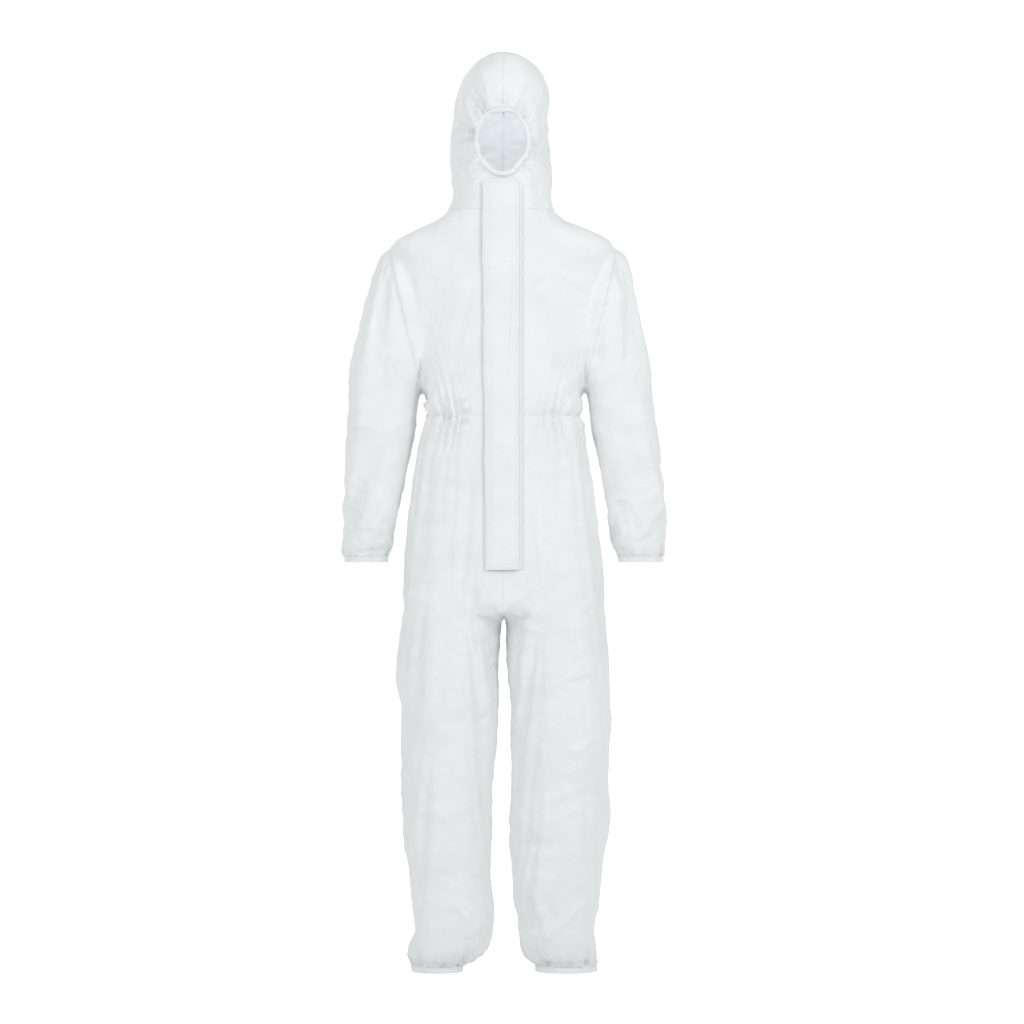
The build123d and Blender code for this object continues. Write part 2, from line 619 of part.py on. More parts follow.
def flap_outline(x_low, x_high):
    """The flap's section: flat edges that rise to a crown over the slider."""
    edge, crown = -FLAP_EDGE, -FLAP_RISE
    inner_crown = crown + FLAP
    return [
        (x_low, edge), (x_low, edge - FLAP), (x_low + FLAP_SHOULDER, crown - FLAP * 0.5),
        (x_high - FLAP_SHOULDER, crown - FLAP * 0.5), (x_high, edge - FLAP), (x_high, edge),
        (x_high - FLAP_SHOULDER, inner_crown - FLAP * 0.5), (x_low + FLAP_SHOULDER, inner_crown - FLAP * 0.5),
    ]


def run_up(outline, low, high):
    """An outline in the zip's X and Y, run up the zip."""
    return Pos(0, 0, low) * extrude(make_face(Polyline(*outline, close=True)), amount=high - low)


def storm_flap():
    return run_up(flap_outline(FLAP_FREE, FLAP_SEWN), FLAP_LOW, ZIP_HIGH + FLAP_ABOVE_TOP)


def flap_sewn_edge():
    """The strip of the flap that the stitching holds down on the left front panel."""
    x = FLAP_SEWN + FLAP + SEWN_GAP
    front = -FLAP_EDGE + SEWN_SINK
    return bar(x, x + SEWN_STRIP, front, front + SEWN_STRIP_THICKNESS, FLAP_LOW, ZIP_HIGH - FLAP_BELOW_TOP)


def flap_adhesive():
    """The strip of double-sided tape behind the free edge."""
    return bar(
        FLAP_FREE, FLAP_FREE + ADHESIVE_WIDTH, -FLAP_EDGE, -FLAP_EDGE + ADHESIVE,
        FLAP_LOW + 2 * ADHESIVE_WIDTH, ZIP_HIGH - ADHESIVE_WIDTH,
    )


def build():
    """Every node by name."""
    nod_ring = bend_ring(HOOD_PIVOT, 2 * NECK_RING, 2 * HOOD_BACK)
    hip_ring = bend_ring(HIP_PIVOT, HIP_FORWARD, HIP_BACK)
    nodes = torso_panels(hip_ring)
    nodes["waist_elastic"] = waist_elastic()
    nodes["crotch_fabric"] = crotch_fabric()
    nodes["neck_fabric"] = neck_fabric(nod_ring)
    nodes.update(hood_pieces(nod_ring))
    limbs = {**sleeve_pieces(), **leg_pieces(hip_ring)}
    for part, shape in limbs.items():
        nodes[f"left_{part}"] = shape
        nodes[f"right_{part}"] = mirror(shape, Plane.YZ)
    for name, side in SIDES.items():
        nodes[f"zip_tape_{name}"] = ZIP_FRAME * zip_tape(side)
        nodes[f"zip_teeth_{name}"] = ZIP_FRAME * zip_teeth(side)
    top_stops, bottom_stop = zip_stops()
    nodes["zip_top_stops"] = ZIP_FRAME * top_stops
    nodes["zip_bottom_stop"] = ZIP_FRAME * bottom_stop
    nodes["zip_slider"] = ZIP_FRAME * zip_slider()
    nodes["zip_pull"] = ZIP_FRAME * zip_pull()
    nodes["storm_flap"] = ZIP_FRAME * storm_flap()
    nodes["flap_sewn_edge"] = ZIP_FRAME * flap_sewn_edge()
    nodes["flap_adhesive"] = ZIP_FRAME * flap_adhesive()
    return nodes


def main():
    os.makedirs("parts", exist_ok=True)
    for name, shape in build().items():
        export_step(shape, f"parts/{name}.step")


main()
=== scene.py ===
import json
import math
from collections import Counter

import bmesh
import bpy
import numpy as np
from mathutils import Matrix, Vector

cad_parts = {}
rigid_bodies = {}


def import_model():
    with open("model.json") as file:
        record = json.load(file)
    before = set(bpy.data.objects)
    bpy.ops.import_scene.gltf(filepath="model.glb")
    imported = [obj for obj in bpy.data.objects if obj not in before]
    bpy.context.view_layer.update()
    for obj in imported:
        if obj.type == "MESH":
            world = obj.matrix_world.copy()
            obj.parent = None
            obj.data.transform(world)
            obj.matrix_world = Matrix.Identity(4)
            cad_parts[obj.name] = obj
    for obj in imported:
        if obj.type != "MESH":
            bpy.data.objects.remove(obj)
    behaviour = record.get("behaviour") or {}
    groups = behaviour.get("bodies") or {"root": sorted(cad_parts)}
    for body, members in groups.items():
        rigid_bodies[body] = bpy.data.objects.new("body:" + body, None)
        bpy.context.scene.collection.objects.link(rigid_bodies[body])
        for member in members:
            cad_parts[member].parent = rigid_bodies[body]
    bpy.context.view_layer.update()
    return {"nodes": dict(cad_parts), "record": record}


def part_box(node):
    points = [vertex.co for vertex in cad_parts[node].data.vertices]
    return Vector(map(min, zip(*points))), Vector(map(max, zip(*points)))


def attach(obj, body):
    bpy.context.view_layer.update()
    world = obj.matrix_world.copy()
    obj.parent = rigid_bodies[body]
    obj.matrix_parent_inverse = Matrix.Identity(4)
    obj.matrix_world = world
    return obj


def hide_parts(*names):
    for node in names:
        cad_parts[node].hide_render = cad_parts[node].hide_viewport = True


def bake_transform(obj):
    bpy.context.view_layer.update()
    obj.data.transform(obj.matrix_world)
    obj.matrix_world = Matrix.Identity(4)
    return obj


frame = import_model()
record = frame["record"]
JOINTS = {j["name"]: j for j in record["behaviour"]["joints"]}

# ---------------------------------------------------------------- sizes, in metres
MM = 0.001
CELL = 0.0085            # the cloth's cells before they are divided
FABRIC = 0.0009
HEM_THICKNESS = 0.0024
HEM = 0.012
WAIST_Z = (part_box("waist_elastic")[0].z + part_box("waist_elastic")[1].z) / 2 - 0.009
CUFF_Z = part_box("left_cuff_hem")[0].z
ANKLE_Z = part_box("left_ankle_hem")[0].z
CROWN_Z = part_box("hood_left_panel")[1].z
NECK_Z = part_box("front_left_panel")[1].z
FACE_LOW, FACE_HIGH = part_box("face_elastic")
FLAP_LOW, FLAP_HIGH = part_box("storm_flap")
CROTCH_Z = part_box("crotch_fabric")[0].z
LEG_Y = JOINTS["left_hip"]["pos_m"][1]
ARM_Y = JOINTS["left_shoulder"]["pos_m"][1]
SIDE_Y = LEG_Y           # the side seams of body and legs
SLEEVE_CUT_Z = -0.380    # between the two halves of each sleeve's fabric
THIGH_CUT_Z = -0.930
SLOT = 0.0065            # half the opening that holds the zip
FACE_X = -0.001          # the middle of the face opening, a little to one side as in the photograph
FACE_Z = (FACE_LOW.z + FACE_HIGH.z) / 2
OUTSIDE_X = 0.205        # near the cuffs' height, only the sleeves are further out than this
STRIP_DEPTH = 0.03       # how far behind the front line the strip that holds the zip reaches

# The tapes lie just behind the front line, so the line is read from their box.
TAPE_LOW, TAPE_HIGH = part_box("zip_tape_left")


def front(z):
    share = (z - TAPE_LOW.z) / (TAPE_HIGH.z - TAPE_LOW.z)
    return TAPE_LOW.y + share * (TAPE_HIGH.y - TAPE_LOW.y - 0.0005) - 0.0018


def strip_y(x, z):
    """The body's face beside the zip."""
    return front(z) + 0.0024 * (x / 0.035) ** 2


# ---------------------------------------------------------------- smooth lofts
def through(rows, count):
    """Rows of numbers read smoothly at count even steps, by a Catmull-Rom spline."""
    rows = np.array(rows, float)
    padded = np.vstack([2 * rows[0] - rows[1], rows, 2 * rows[-1] - rows[-2]])
    t = np.linspace(0, len(rows) - 1 - 1e-9, count)
    i, f = t.astype(int), (t % 1)[:, None]
    a, b, c, d = (padded[i + k] for k in range(4))
    return 0.5 * (2 * b + (c - a) * f + (2 * a - 5 * b + 4 * c - d) * f**2 + (3 * b - 3 * c + d - a) * f**3)


def loft(rows, rings, around=80):
    """A closed tube. A row is x, y, z, half width, half depth, tilt about Y in degrees, and roundness."""
    angle = np.linspace(0, 2 * math.pi, around, endpoint=False)
    points, faces = [], []
    for x, y, z, a, b, tilt, p in through(rows, rings):
        c, s = np.cos(angle), np.sin(angle)
        u = a * np.sign(c) * np.abs(c) ** (2 / p)
        v = b * np.sign(s) * np.abs(s) ** (2 / p)
        turn = math.radians(tilt)
        points.append(np.stack([x + u * math.cos(turn), y + v, z + u * math.sin(turn)], 1))
    for r in range(rings - 1):
        for k in range(around):
            n = (k + 1) % around
            faces.append((r * around + k, r * around + n, (r + 1) * around + n, (r + 1) * around + k))
    faces.append(tuple(range(around))[::-1])
    faces.append(tuple((rings - 1) * around + k for k in range(around)))
    return np.vstack(points), faces


def body_row(z, left, right, half_depth, roundness=2.15, back=0.0):
    """A section of body or hood from its two sides and its half depth. It touches the front line."""
    z, left, right, half_depth = z * MM, left * MM, right * MM, half_depth * MM
    return ((left + right) / 2, front(z) + half_depth + back * MM, z, (right - left) / 2, half_depth, 0, roundness)


def limb_row(z, inner, outer, y, half_depth, side, roundness=2.1):
    """A level section of a sleeve or leg."""
    x = side * (inner + outer) / 2 * MM
    return (x, y, z * MM, (outer - inner) / 2 * MM, half_depth * MM, 0, roundness)


def slanted_row(inner, outer, half_depth, side, roundness=2.1):
    """A section of a sleeve between two points in the XZ plane."""
    (x1, z1), (x2, z2) = inner, outer
    tilt = math.degrees(math.atan2(z2 - z1, x2 - x1))
    half = math.hypot(x2 - x1, z2 - z1) / 2 * MM
    x, z = side * (x1 + x2) / 2 * MM, (z1 + z2) / 2 * MM
    return (x, ARM_Y, z, half, half_depth * MM, side * tilt, roundness)


BODY = [
    body_row(-771, -120, 120, 50, 2.1), body_row(-757, -188, 194, 92), body_row(-738, -198, 202, 108),
    body_row(-700, -199, 202, 117),
    body_row(-650, -198, 199, 121), body_row(-590, -192, 190, 119), body_row(-515, -184, 181, 113),
    body_row(-450, -164, 162, 106), body_row(-409, -153, 152, 97), body_row(-392, -150, 150, 95),
    body_row(-374, -152, 152, 97), body_row(-338, -158, 157, 108), body_row(-290, -166, 164, 116),
    body_row(-230, -178, 176, 119), body_row(-170, -190, 188, 118), body_row(-120, -202, 200, 108),
    body_row(-80, -214, 211, 90), body_row(-57, -207, 205, 84), body_row(-38, -168, 166, 82),
    body_row(-19, -128, 118, 81), body_row(0, -106, 98, 82), body_row(22, -95, 90, 88), body_row(50, -95, 92, 96),
]
HOOD = [
    body_row(-6, -104, 96, 80), body_row(20, -96, 90, 88), body_row(60, -98, 93, 103),
    body_row(100, -101, 90, 114, 2.1), body_row(140, -100, 88, 120, 2.1), body_row(180, -94, 85, 120, 2.1, 5),
    body_row(215, -91, 88, 116, 2.1, 9), body_row(248, -80, 83, 102, 2.1, 15), body_row(275, -62, 66, 82, 2.1, 24),
    body_row(295, -38, 44, 54, 2.1, 40), body_row(304, -14, 20, 24, 2.0, 60), body_row(306, -3, 8, 6, 2.0, 70),
]


def sleeve_rows(side, outer):
    """A sleeve from inside the shoulder to below the cuff. outer lists its outer edge at each height."""
    at = dict(outer)
    return [
        slanted_row((118, -285), (186, -84), 66, side), slanted_row((146, -303), (220, -72), 80, side),
        slanted_row((163, -322), (250, -104), 82, side), slanted_row((165, -330), (at[-172], -172), 77, side),
        slanted_row((165, -337), (at[-229], -240), 71, side), limb_row(-335, 165, at[-324], ARM_Y, 68, side),
        limb_row(-400, 170, at[-400], ARM_Y, 66, side), limb_row(-477, 184, at[-477], ARM_Y, 62, side),
        limb_row(-553, 196, at[-553], ARM_Y, 58, side), limb_row(-610, 205, at[-610], ARM_Y, 54, side),
        limb_row(-640, 212, at[-640], ARM_Y, 49, side), limb_row(-658, 221, 308, ARM_Y, 41, side),
        limb_row(-672, 222, 306, ARM_Y, 40, side), limb_row(-700, 222, 306, ARM_Y, 40, side),
    ]


SLEEVE_OUTER = {
    -1: [(-172, 276), (-229, 288), (-324, 300), (-400, 302), (-477, 306), (-553, 308), (-610, 308), (-640, 309)],
    1: [(-172, 256), (-229, 270), (-324, 285), (-400, 295), (-477, 308), (-553, 315), (-610, 313), (-640, 309)],
}
LEG_EDGES = {
    -1: [(-745, 8, 190), (-790, 5, 199), (-858, 12, 210), (-900, 11, 211), (-934, 10, 197), (-1011, 14, 197),
         (-1087, 22, 198), (-1163, 23, 196), (-1215, 24, 193), (-1250, 23, 184), (-1316, 17, 180), (-1365, 19, 177),
         (-1400, 26, 183), (-1422, 44, 183), (-1440, 74, 178), (-1455, 76, 176), (-1485, 76, 176)],
    1: [(-745, 8, 192), (-790, 8, 202), (-858, 9, 207), (-900, 13, 207), (-934, 19, 209), (-973, 18, 213),
        (-1011, 18, 208), (-1087, 18, 205), (-1163, 13, 209), (-1215, 12, 198), (-1250, 17, 190), (-1316, 19, 186),
        (-1354, 26, 182), (-1392, 31, 183), (-1422, 42, 182), (-1440, 61, 181), (-1455, 62, 180), (-1485, 62, 180)],
}


def leg_depth(z):
    depths = [96, 101, 99, 92, 86, 79, 66, 50, 49]
    return float(np.interp(-z, [745, 800, 900, 1100, 1250, 1390, 1425, 1442, 1500], depths))


def leg_rows(side):
    return [limb_row(z, inner, outer, LEG_Y, leg_depth(z), side, 1.95) for z, inner, outer in LEG_EDGES[side]]


# Sleeves and legs are spread apart while the skin is made, so that it doesn't bridge the narrow gaps.
SPREAD_ARM, SPREAD_LEG = 0.34, 0.16
UNDERARM_Z = -0.318


def sleeve_side(z):
    """The |x| that parts sleeve from body at a height, before anything is spread."""
    return np.interp(-z, [0.318, 0.38, 0.515, 0.667, 0.9], [0.160, 0.161, 0.186, 0.208, 0.24])


def arm_spread(z):
    return SPREAD_ARM * np.maximum(0, UNDERARM_Z - z)


def leg_spread(z):
    return SPREAD_LEG * np.maximum(0, CROTCH_Z + 0.02 - z)


def in_sleeve(co, widened=False):
    x, z = np.abs(co[:, 0]), co[:, 2]
    limit = sleeve_side(z) + (arm_spread(z) / 2 if widened else 0)
    return (z < UNDERARM_Z) & (z > -0.74) & (x > limit)


def make_object(name, points, faces):
    mesh = bpy.data.meshes.new(name)
    mesh.from_pydata([tuple(p) for p in points], [], faces)
    mesh.validate()
    obj = bpy.data.objects.new(name, mesh)
    bpy.context.scene.collection.objects.link(obj)
    return obj


def get_co(mesh):
    co = np.empty(len(mesh.vertices) * 3)
    mesh.vertices.foreach_get("co", co)
    return co.reshape(-1, 3)


def set_co(mesh, co):
    mesh.vertices.foreach_set("co", co.ravel())
    mesh.update()


def apply_all(obj):
    """Turns the object's modifiers into its mesh."""
    bpy.context.view_layer.update()
    shown = obj.evaluated_get(bpy.context.evaluated_depsgraph_get())
    mesh = bpy.data.meshes.new_from_object(shown)
    obj.modifiers.clear()
    old, obj.data = obj.data, mesh
    bpy.data.meshes.remove(old)
    return obj


def neighbours_mean(co, edges):
    total, count = np.zeros_like(co), np.zeros(len(co))
    for a, b in ((0, 1), (1, 0)):
        for k in range(3):
            total[:, k] += np.bincount(edges[:, a], co[edges[:, b], k], len(co))
        count += np.bincount(edges[:, a], minlength=len(co))
    return total / np.maximum(count, 1)[:, None]


def edge_array(mesh):
    e = np.empty(len(mesh.edges) * 2, np.int64)
    mesh.edges.foreach_get("vertices", e)
    return e.reshape(-1, 2)


def normals(mesh):
    n = np.empty(len(mesh.vertices) * 3, np.float32)
    mesh.vertex_normals.foreach_get("vector", n)
    return n.reshape(-1, 3).astype(float)


# ---------------------------------------------------------------- one skin for the whole suit
def make_skin():
    parts = [loft(BODY, 150, 128), loft(HOOD, 60, 96)]
    for side in (-1, 1):
        for rows, spread in ((sleeve_rows(side, SLEEVE_OUTER[side]), arm_spread), (leg_rows(side), leg_spread)):
            points, faces = loft(rows, 110, 80)
            points[:, 0] += side * spread(points[:, 2])
            parts.append((points, faces))
    points, faces, start = [], [], 0
    for p, f in parts:
        points.append(p)
        faces += [tuple(i + start for i in face) for face in f]
        start += len(p)
    skin = make_object("skin", np.vstack(points), faces)
    remesh = skin.modifiers.new("skin", "REMESH")
    remesh.mode = "VOXEL"
    remesh.voxel_size = CELL
    remesh.use_smooth_shade = True
    apply_all(skin)
    co, edges = get_co(skin.data), edge_array(skin.data)
    for _ in range(5):
        mean = neighbours_mean(co, edges)
        co = co + 0.6 * (mean - co)
        mean = neighbours_mean(co, edges)
        co = co - 0.58 * (mean - co)
    side = np.sign(co[:, 0])
    arm = in_sleeve(co, widened=True)
    co[:, 0] -= np.where(arm, side * arm_spread(co[:, 2]), side * leg_spread(co[:, 2]))
    set_co(skin.data, co)
    return skin


def face_oval(co):
    """How far out of the face opening's oval each point is: below 1 is inside it."""
    u, v = (co[:, 0] - FACE_X) / 0.047, (co[:, 2] - FACE_Z) / 0.0595
    turn = np.arctan2(v, u)
    drawn = 1 - 0.060 * bump(turn, 1.57, 0.42) + 0.030 * bump(turn, 0.95, 0.3) + 0.022 * bump(turn, 2.2, 0.3)
    drawn -= 0.075 * bump(turn, -0.85, 0.38) + 0.075 * bump(turn, -2.30, 0.38)
    drawn += 0.010 * np.sin(5 * turn + 1) + 0.007 * np.sin(9 * turn)
    return np.hypot(u, v) / drawn


def open_ends(skin):
    """Cuts the skin open at the face, cuffs and ankles."""
    bm = bmesh.new()
    bm.from_mesh(skin.data)
    for z, reach in ((CUFF_Z, OUTSIDE_X), (ANKLE_Z, 0.0)):
        near = [v for v in bm.verts if abs(v.co.z - z) < 0.03 and abs(v.co.x) >= reach]
        geom = set(near)
        for v in near:
            geom.update(v.link_edges)
            geom.update(v.link_faces)
        bmesh.ops.bisect_plane(bm, geom=list(geom), plane_co=(0, 0, z), plane_no=(0, 0, 1), dist=1e-5)
    centre = np.array([f.calc_center_median()[:] for f in bm.faces])
    z, x = centre[:, 2], np.abs(centre[:, 0])
    drop = (z < ANKLE_Z) | ((z < CUFF_Z) & (z > CUFF_Z - 0.05) & (x > OUTSIDE_X))
    drop |= (face_oval(centre) < 1) & (centre[:, 1] < -0.03)
    gone = [f for f, d in zip(bm.faces, drop) if d]
    bmesh.ops.delete(bm, geom=gone, context="FACES")
    bm.verts.ensure_lookup_table()
    for v in bm.verts:
        if v.is_boundary and v.co.z > 0.03:
            d = face_oval(np.array([v.co[:]]))[0]
            v.co.x, v.co.z = FACE_X + (v.co.x - FACE_X) / d, FACE_Z + (v.co.z - FACE_Z) / d
    bm.to_mesh(skin.data)
    bm.free()
    return skin


def smoothstep(x, low, high):
    t = np.clip((x - low) / (high - low), 0, 1)
    return t * t * (3 - 2 * t)


def bump(x, centre, width):
    return np.exp(-(((x - centre) / width) ** 2))


def limb_axis(co):
    """The middle of whichever tube each point is on, as x and y."""
    z = co[:, 2]
    x, y = np.zeros(len(co)), front(z) + 0.108
    for side in (-1, 1):
        here = in_sleeve(co) & (np.sign(co[:, 0]) == side)
        x[here] = side * np.interp(-z[here], [0.318, 0.43, 0.67], [0.230, 0.236, 0.264])
        y[here] = ARM_Y
        here = (z < CROTCH_Z) & (np.sign(co[:, 0]) == side) & ~in_sleeve(co)
        x[here] = side * np.interp(-z[here], [0.75, 1.1, 1.38, 1.45], [0.103, 0.109, 0.108, 0.124])
        y[here] = LEG_Y
    return x, y


def settle(skin):
    """Cloth: the fabric is cut wider than it hangs, so it folds at the waist and hangs in soft creases."""
    mesh = skin.data
    co = get_co(mesh)
    x, z = co[:, 0], co[:, 2]
    ax, ay = limb_axis(co)
    arm = in_sleeve(co)
    body = ~arm & (z > CROTCH_Z) & (z < 0)
    grow = np.where(z > 0, 0.008, np.where(z < CROTCH_Z, 0.012, 0.018))
    grow += np.where(body, 0.34 * bump(z, WAIST_Z, 0.055), 0)
    grow += np.where(arm, 0.16 * bump(z, CUFF_Z, 0.035) + 0.02, 0)
    grow += np.where(z < CROTCH_Z, 0.16 * bump(z, ANKLE_Z, 0.045) + 0.012, 0)
    wide = co.copy()
    wide[:, 0] = ax + (co[:, 0] - ax) * (1 + grow)
    wide[:, 1] = ay + (co[:, 1] - ay) * (1 + grow)
    wide[:, 2] *= 1.005
    skin.shape_key_add(name="Basis")
    key = skin.shape_key_add(name="cut")
    key.data.foreach_set("co", wide.ravel())
    key.value = 0
    pin = np.where(z > 0, 0.30, np.where(z < CROTCH_Z - 0.02, 0.10, np.where(arm, 0.08, 0.045)))
    pin = np.maximum(pin, 0.999 * (np.abs(z - WAIST_Z) < 0.009) * body)
    strip = (np.abs(x) < 0.045) & (co[:, 1] < front(z) + 0.03) & (z > -0.70) & (z < 0.07)
    pin = np.maximum(pin, 1.0 * strip)
    pin = np.maximum(pin, 1.0 * (face_oval(co) < 1.25) * (z > 0) * (co[:, 1] < 0))
    pin = np.maximum(pin, 1.0 * ((z < CUFF_Z + 0.014) & arm))
    pin = np.maximum(pin, 1.0 * (z < ANKLE_Z + 0.014))
    pin = np.maximum(pin, 0.5 * bump(z, CROWN_Z, 0.05))
    pin = np.maximum(pin, 0.4 * bump(z, -0.03, 0.03))
    pin = np.maximum(pin, 0.5 * (np.abs(x) > 0.13) * bump(z, -0.07, 0.03))
    pin = np.maximum(pin, 0.6 * bump(z, CROTCH_Z, 0.02) * bump(np.abs(x), 0, 0.02))
    group = skin.vertex_groups.new(name="pin")
    levels = np.round(pin, 3)
    for level in np.unique(levels):
        group.add([int(i) for i in np.nonzero(levels == level)[0]], float(level), "REPLACE")
    cloth = skin.modifiers.new("cloth", "CLOTH")
    s = cloth.settings
    s.quality = 5
    s.mass = 0.15
    s.tension_stiffness = s.compression_stiffness = 25
    s.shear_stiffness = 8
    s.bending_stiffness = 0.6
    s.tension_damping = s.compression_damping = 12
    s.shear_damping = 8
    s.air_damping = 4
    s.vertex_group_mass = "pin"
    s.pin_stiffness = 1.0
    s.rest_shape_key = key
    s.use_pressure = True
    s.uniform_pressure_force = 0.25
    s.effector_weights.gravity = 0.35
    cloth.collision_settings.use_collision = False
    cloth.collision_settings.use_self_collision = False
    frames = 22
    cloth.point_cache.frame_start = 1
    cloth.point_cache.frame_end = frames + 1
    scene = bpy.context.scene
    for f in range(1, frames + 1):
        scene.frame_set(f)
    shown = skin.evaluated_get(bpy.context.evaluated_depsgraph_get())
    mesh = bpy.data.meshes.new_from_object(shown)
    skin.modifiers.clear()
    skin.shape_key_clear()
    skin.vertex_groups.clear()
    skin.data = mesh
    scene.frame_set(1)
    moved = get_co(mesh) - co
    moved[:, 2] = np.where(body, 0.006 * np.tanh(moved[:, 2] / 0.006), moved[:, 2])
    far = np.linalg.norm(moved, axis=1)
    cap = 0.022
    moved *= (np.tanh(far / cap) * cap / np.maximum(far, 1e-9))[:, None]
    set_co(mesh, co + moved)
    return skin


# ---------------------------------------------------------------- seams: the skin is cut along each of them
SHOULDER_X, SHOULDER_Z = 0.217, -0.078
UNDERARM_X = 0.162
ARMHOLE = np.array([-(UNDERARM_Z + 0.003) + SHOULDER_Z, 0, -(SHOULDER_X - UNDERARM_X)])
ARMHOLE = ARMHOLE / np.linalg.norm(ARMHOLE)


def past_armhole(co):
    """How far outside the armhole's plane each point is, on either side."""
    return (np.abs(co[:, 0]) - SHOULDER_X) * ARMHOLE[0] + (co[:, 2] - SHOULDER_Z) * ARMHOLE[2]


def is_arm(co):
    """True on the sleeves, from the armhole down."""
    cap = (past_armhole(co) > 0) & (co[:, 2] < 0) & (co[:, 2] > UNDERARM_Z - 0.02) & (np.abs(co[:, 0]) > 0.15)
    return in_sleeve(co) | cap


def off_arm(co):
    return ~is_arm(co)


def in_front(co):
    """True near the front line, where the zip's strip is."""
    return co[:, 1] < front(co[:, 2]) + STRIP_DEPTH


def cut(bm, point, normal, near):
    """New edges along a plane, only where near is true of a vertex."""
    co = np.array([v.co[:] for v in bm.verts])
    keep = near(co) & (np.abs((co - point) @ np.array(normal)) < 0.02)
    geom = set()
    for v, k in zip(bm.verts, keep):
        if k:
            geom.add(v)
            geom.update(v.link_edges)
            geom.update(v.link_faces)
    bmesh.ops.bisect_plane(bm, geom=list(geom), plane_co=point, plane_no=normal, dist=4e-5)


def cut_seams(skin):
    bm = bmesh.new()
    bm.from_mesh(skin.data)
    cut(bm, (0, 0, 0), (1, 0, 0), lambda c: c[:, 2] > CROTCH_Z - 0.03)
    for side in (-1, 1):
        normal = (side * ARMHOLE[0], 0, ARMHOLE[2])
        cut(bm, (side * SHOULDER_X, 0, SHOULDER_Z), normal,
            lambda c: (c[:, 2] > UNDERARM_Z - 0.004) & (c[:, 2] < 0) & (c[:, 0] * side > 0.13))
        cut(bm, (side * SLOT, 0, 0), (1, 0, 0),
            lambda c: (np.abs(c[:, 0]) < 0.02) & in_front(c) & (c[:, 2] > -0.70) & (c[:, 2] < 0.06))
    cut(bm, (0, 0, NECK_Z), (0, 0, 1), lambda c: np.abs(c[:, 0]) < 0.2)
    cut(bm, (0, 0, WAIST_Z), (0, 0, 1), off_arm)
    cut(bm, (0, 0, THIGH_CUT_Z), (0, 0, 1), off_arm)
    cut(bm, (0, SIDE_Y, 0), (0, 1, 0),
        lambda c: (c[:, 2] < 0.004) & ~in_sleeve(c) & ((past_armhole(c) < 0.004) | (c[:, 2] < UNDERARM_Z)))
    cut(bm, (0, 0, SLEEVE_CUT_Z), (0, 0, 1), in_sleeve)
    cut(bm, (0, 0, CUFF_Z + HEM), (0, 0, 1), in_sleeve)
    cut(bm, (0, 0, ANKLE_Z + HEM), (0, 0, 1), off_arm)
    bmesh.ops.triangulate(bm, faces=[f for f in bm.faces if len(f.verts) > 4])
    bm.normal_update()
    bm.to_mesh(skin.data)
    bm.free()


# ---------------------------------------------------------------- folds
def ripples(s, wavelengths, seed):
    """Uneven folds along s, each from -1 to 1, with sharp crests."""
    r = np.random.default_rng(seed)
    total = np.zeros_like(s)
    for w in wavelengths:
        phase, wander = r.uniform(0, 6.28), r.uniform(0, 6.28)
        k = 2 * math.pi / w
        total += np.sin(k * s + phase + 0.9 * np.sin(0.37 * k * s + wander)) * r.uniform(0.7, 1.0)
    total /= len(wavelengths) ** 0.75
    return 1 - 2 * np.abs(np.clip(total, -1, 1)) ** 0.8


def to_line(px, pz, points):
    """Distance from each point in the XZ plane to a polyline, and the share of the way along it."""
    best, share = np.full(len(px), 1e9), np.zeros(len(px))
    pts = np.array(points, float) * MM
    lengths = np.linalg.norm(np.diff(pts, axis=0), axis=1)
    total, done = lengths.sum(), 0.0
    for (a, b), length in zip(zip(pts[:-1], pts[1:]), lengths):
        d = b - a
        t = np.clip(((px - a[0]) * d[0] + (pz - a[1]) * d[1]) / (length**2), 0, 1)
        away = np.hypot(px - a[0] - t * d[0], pz - a[1] - t * d[1])
        near = away < best
        best, share = np.where(near, away, best), np.where(near, (done + t * length) / total, share)
        done += length
    return best, share


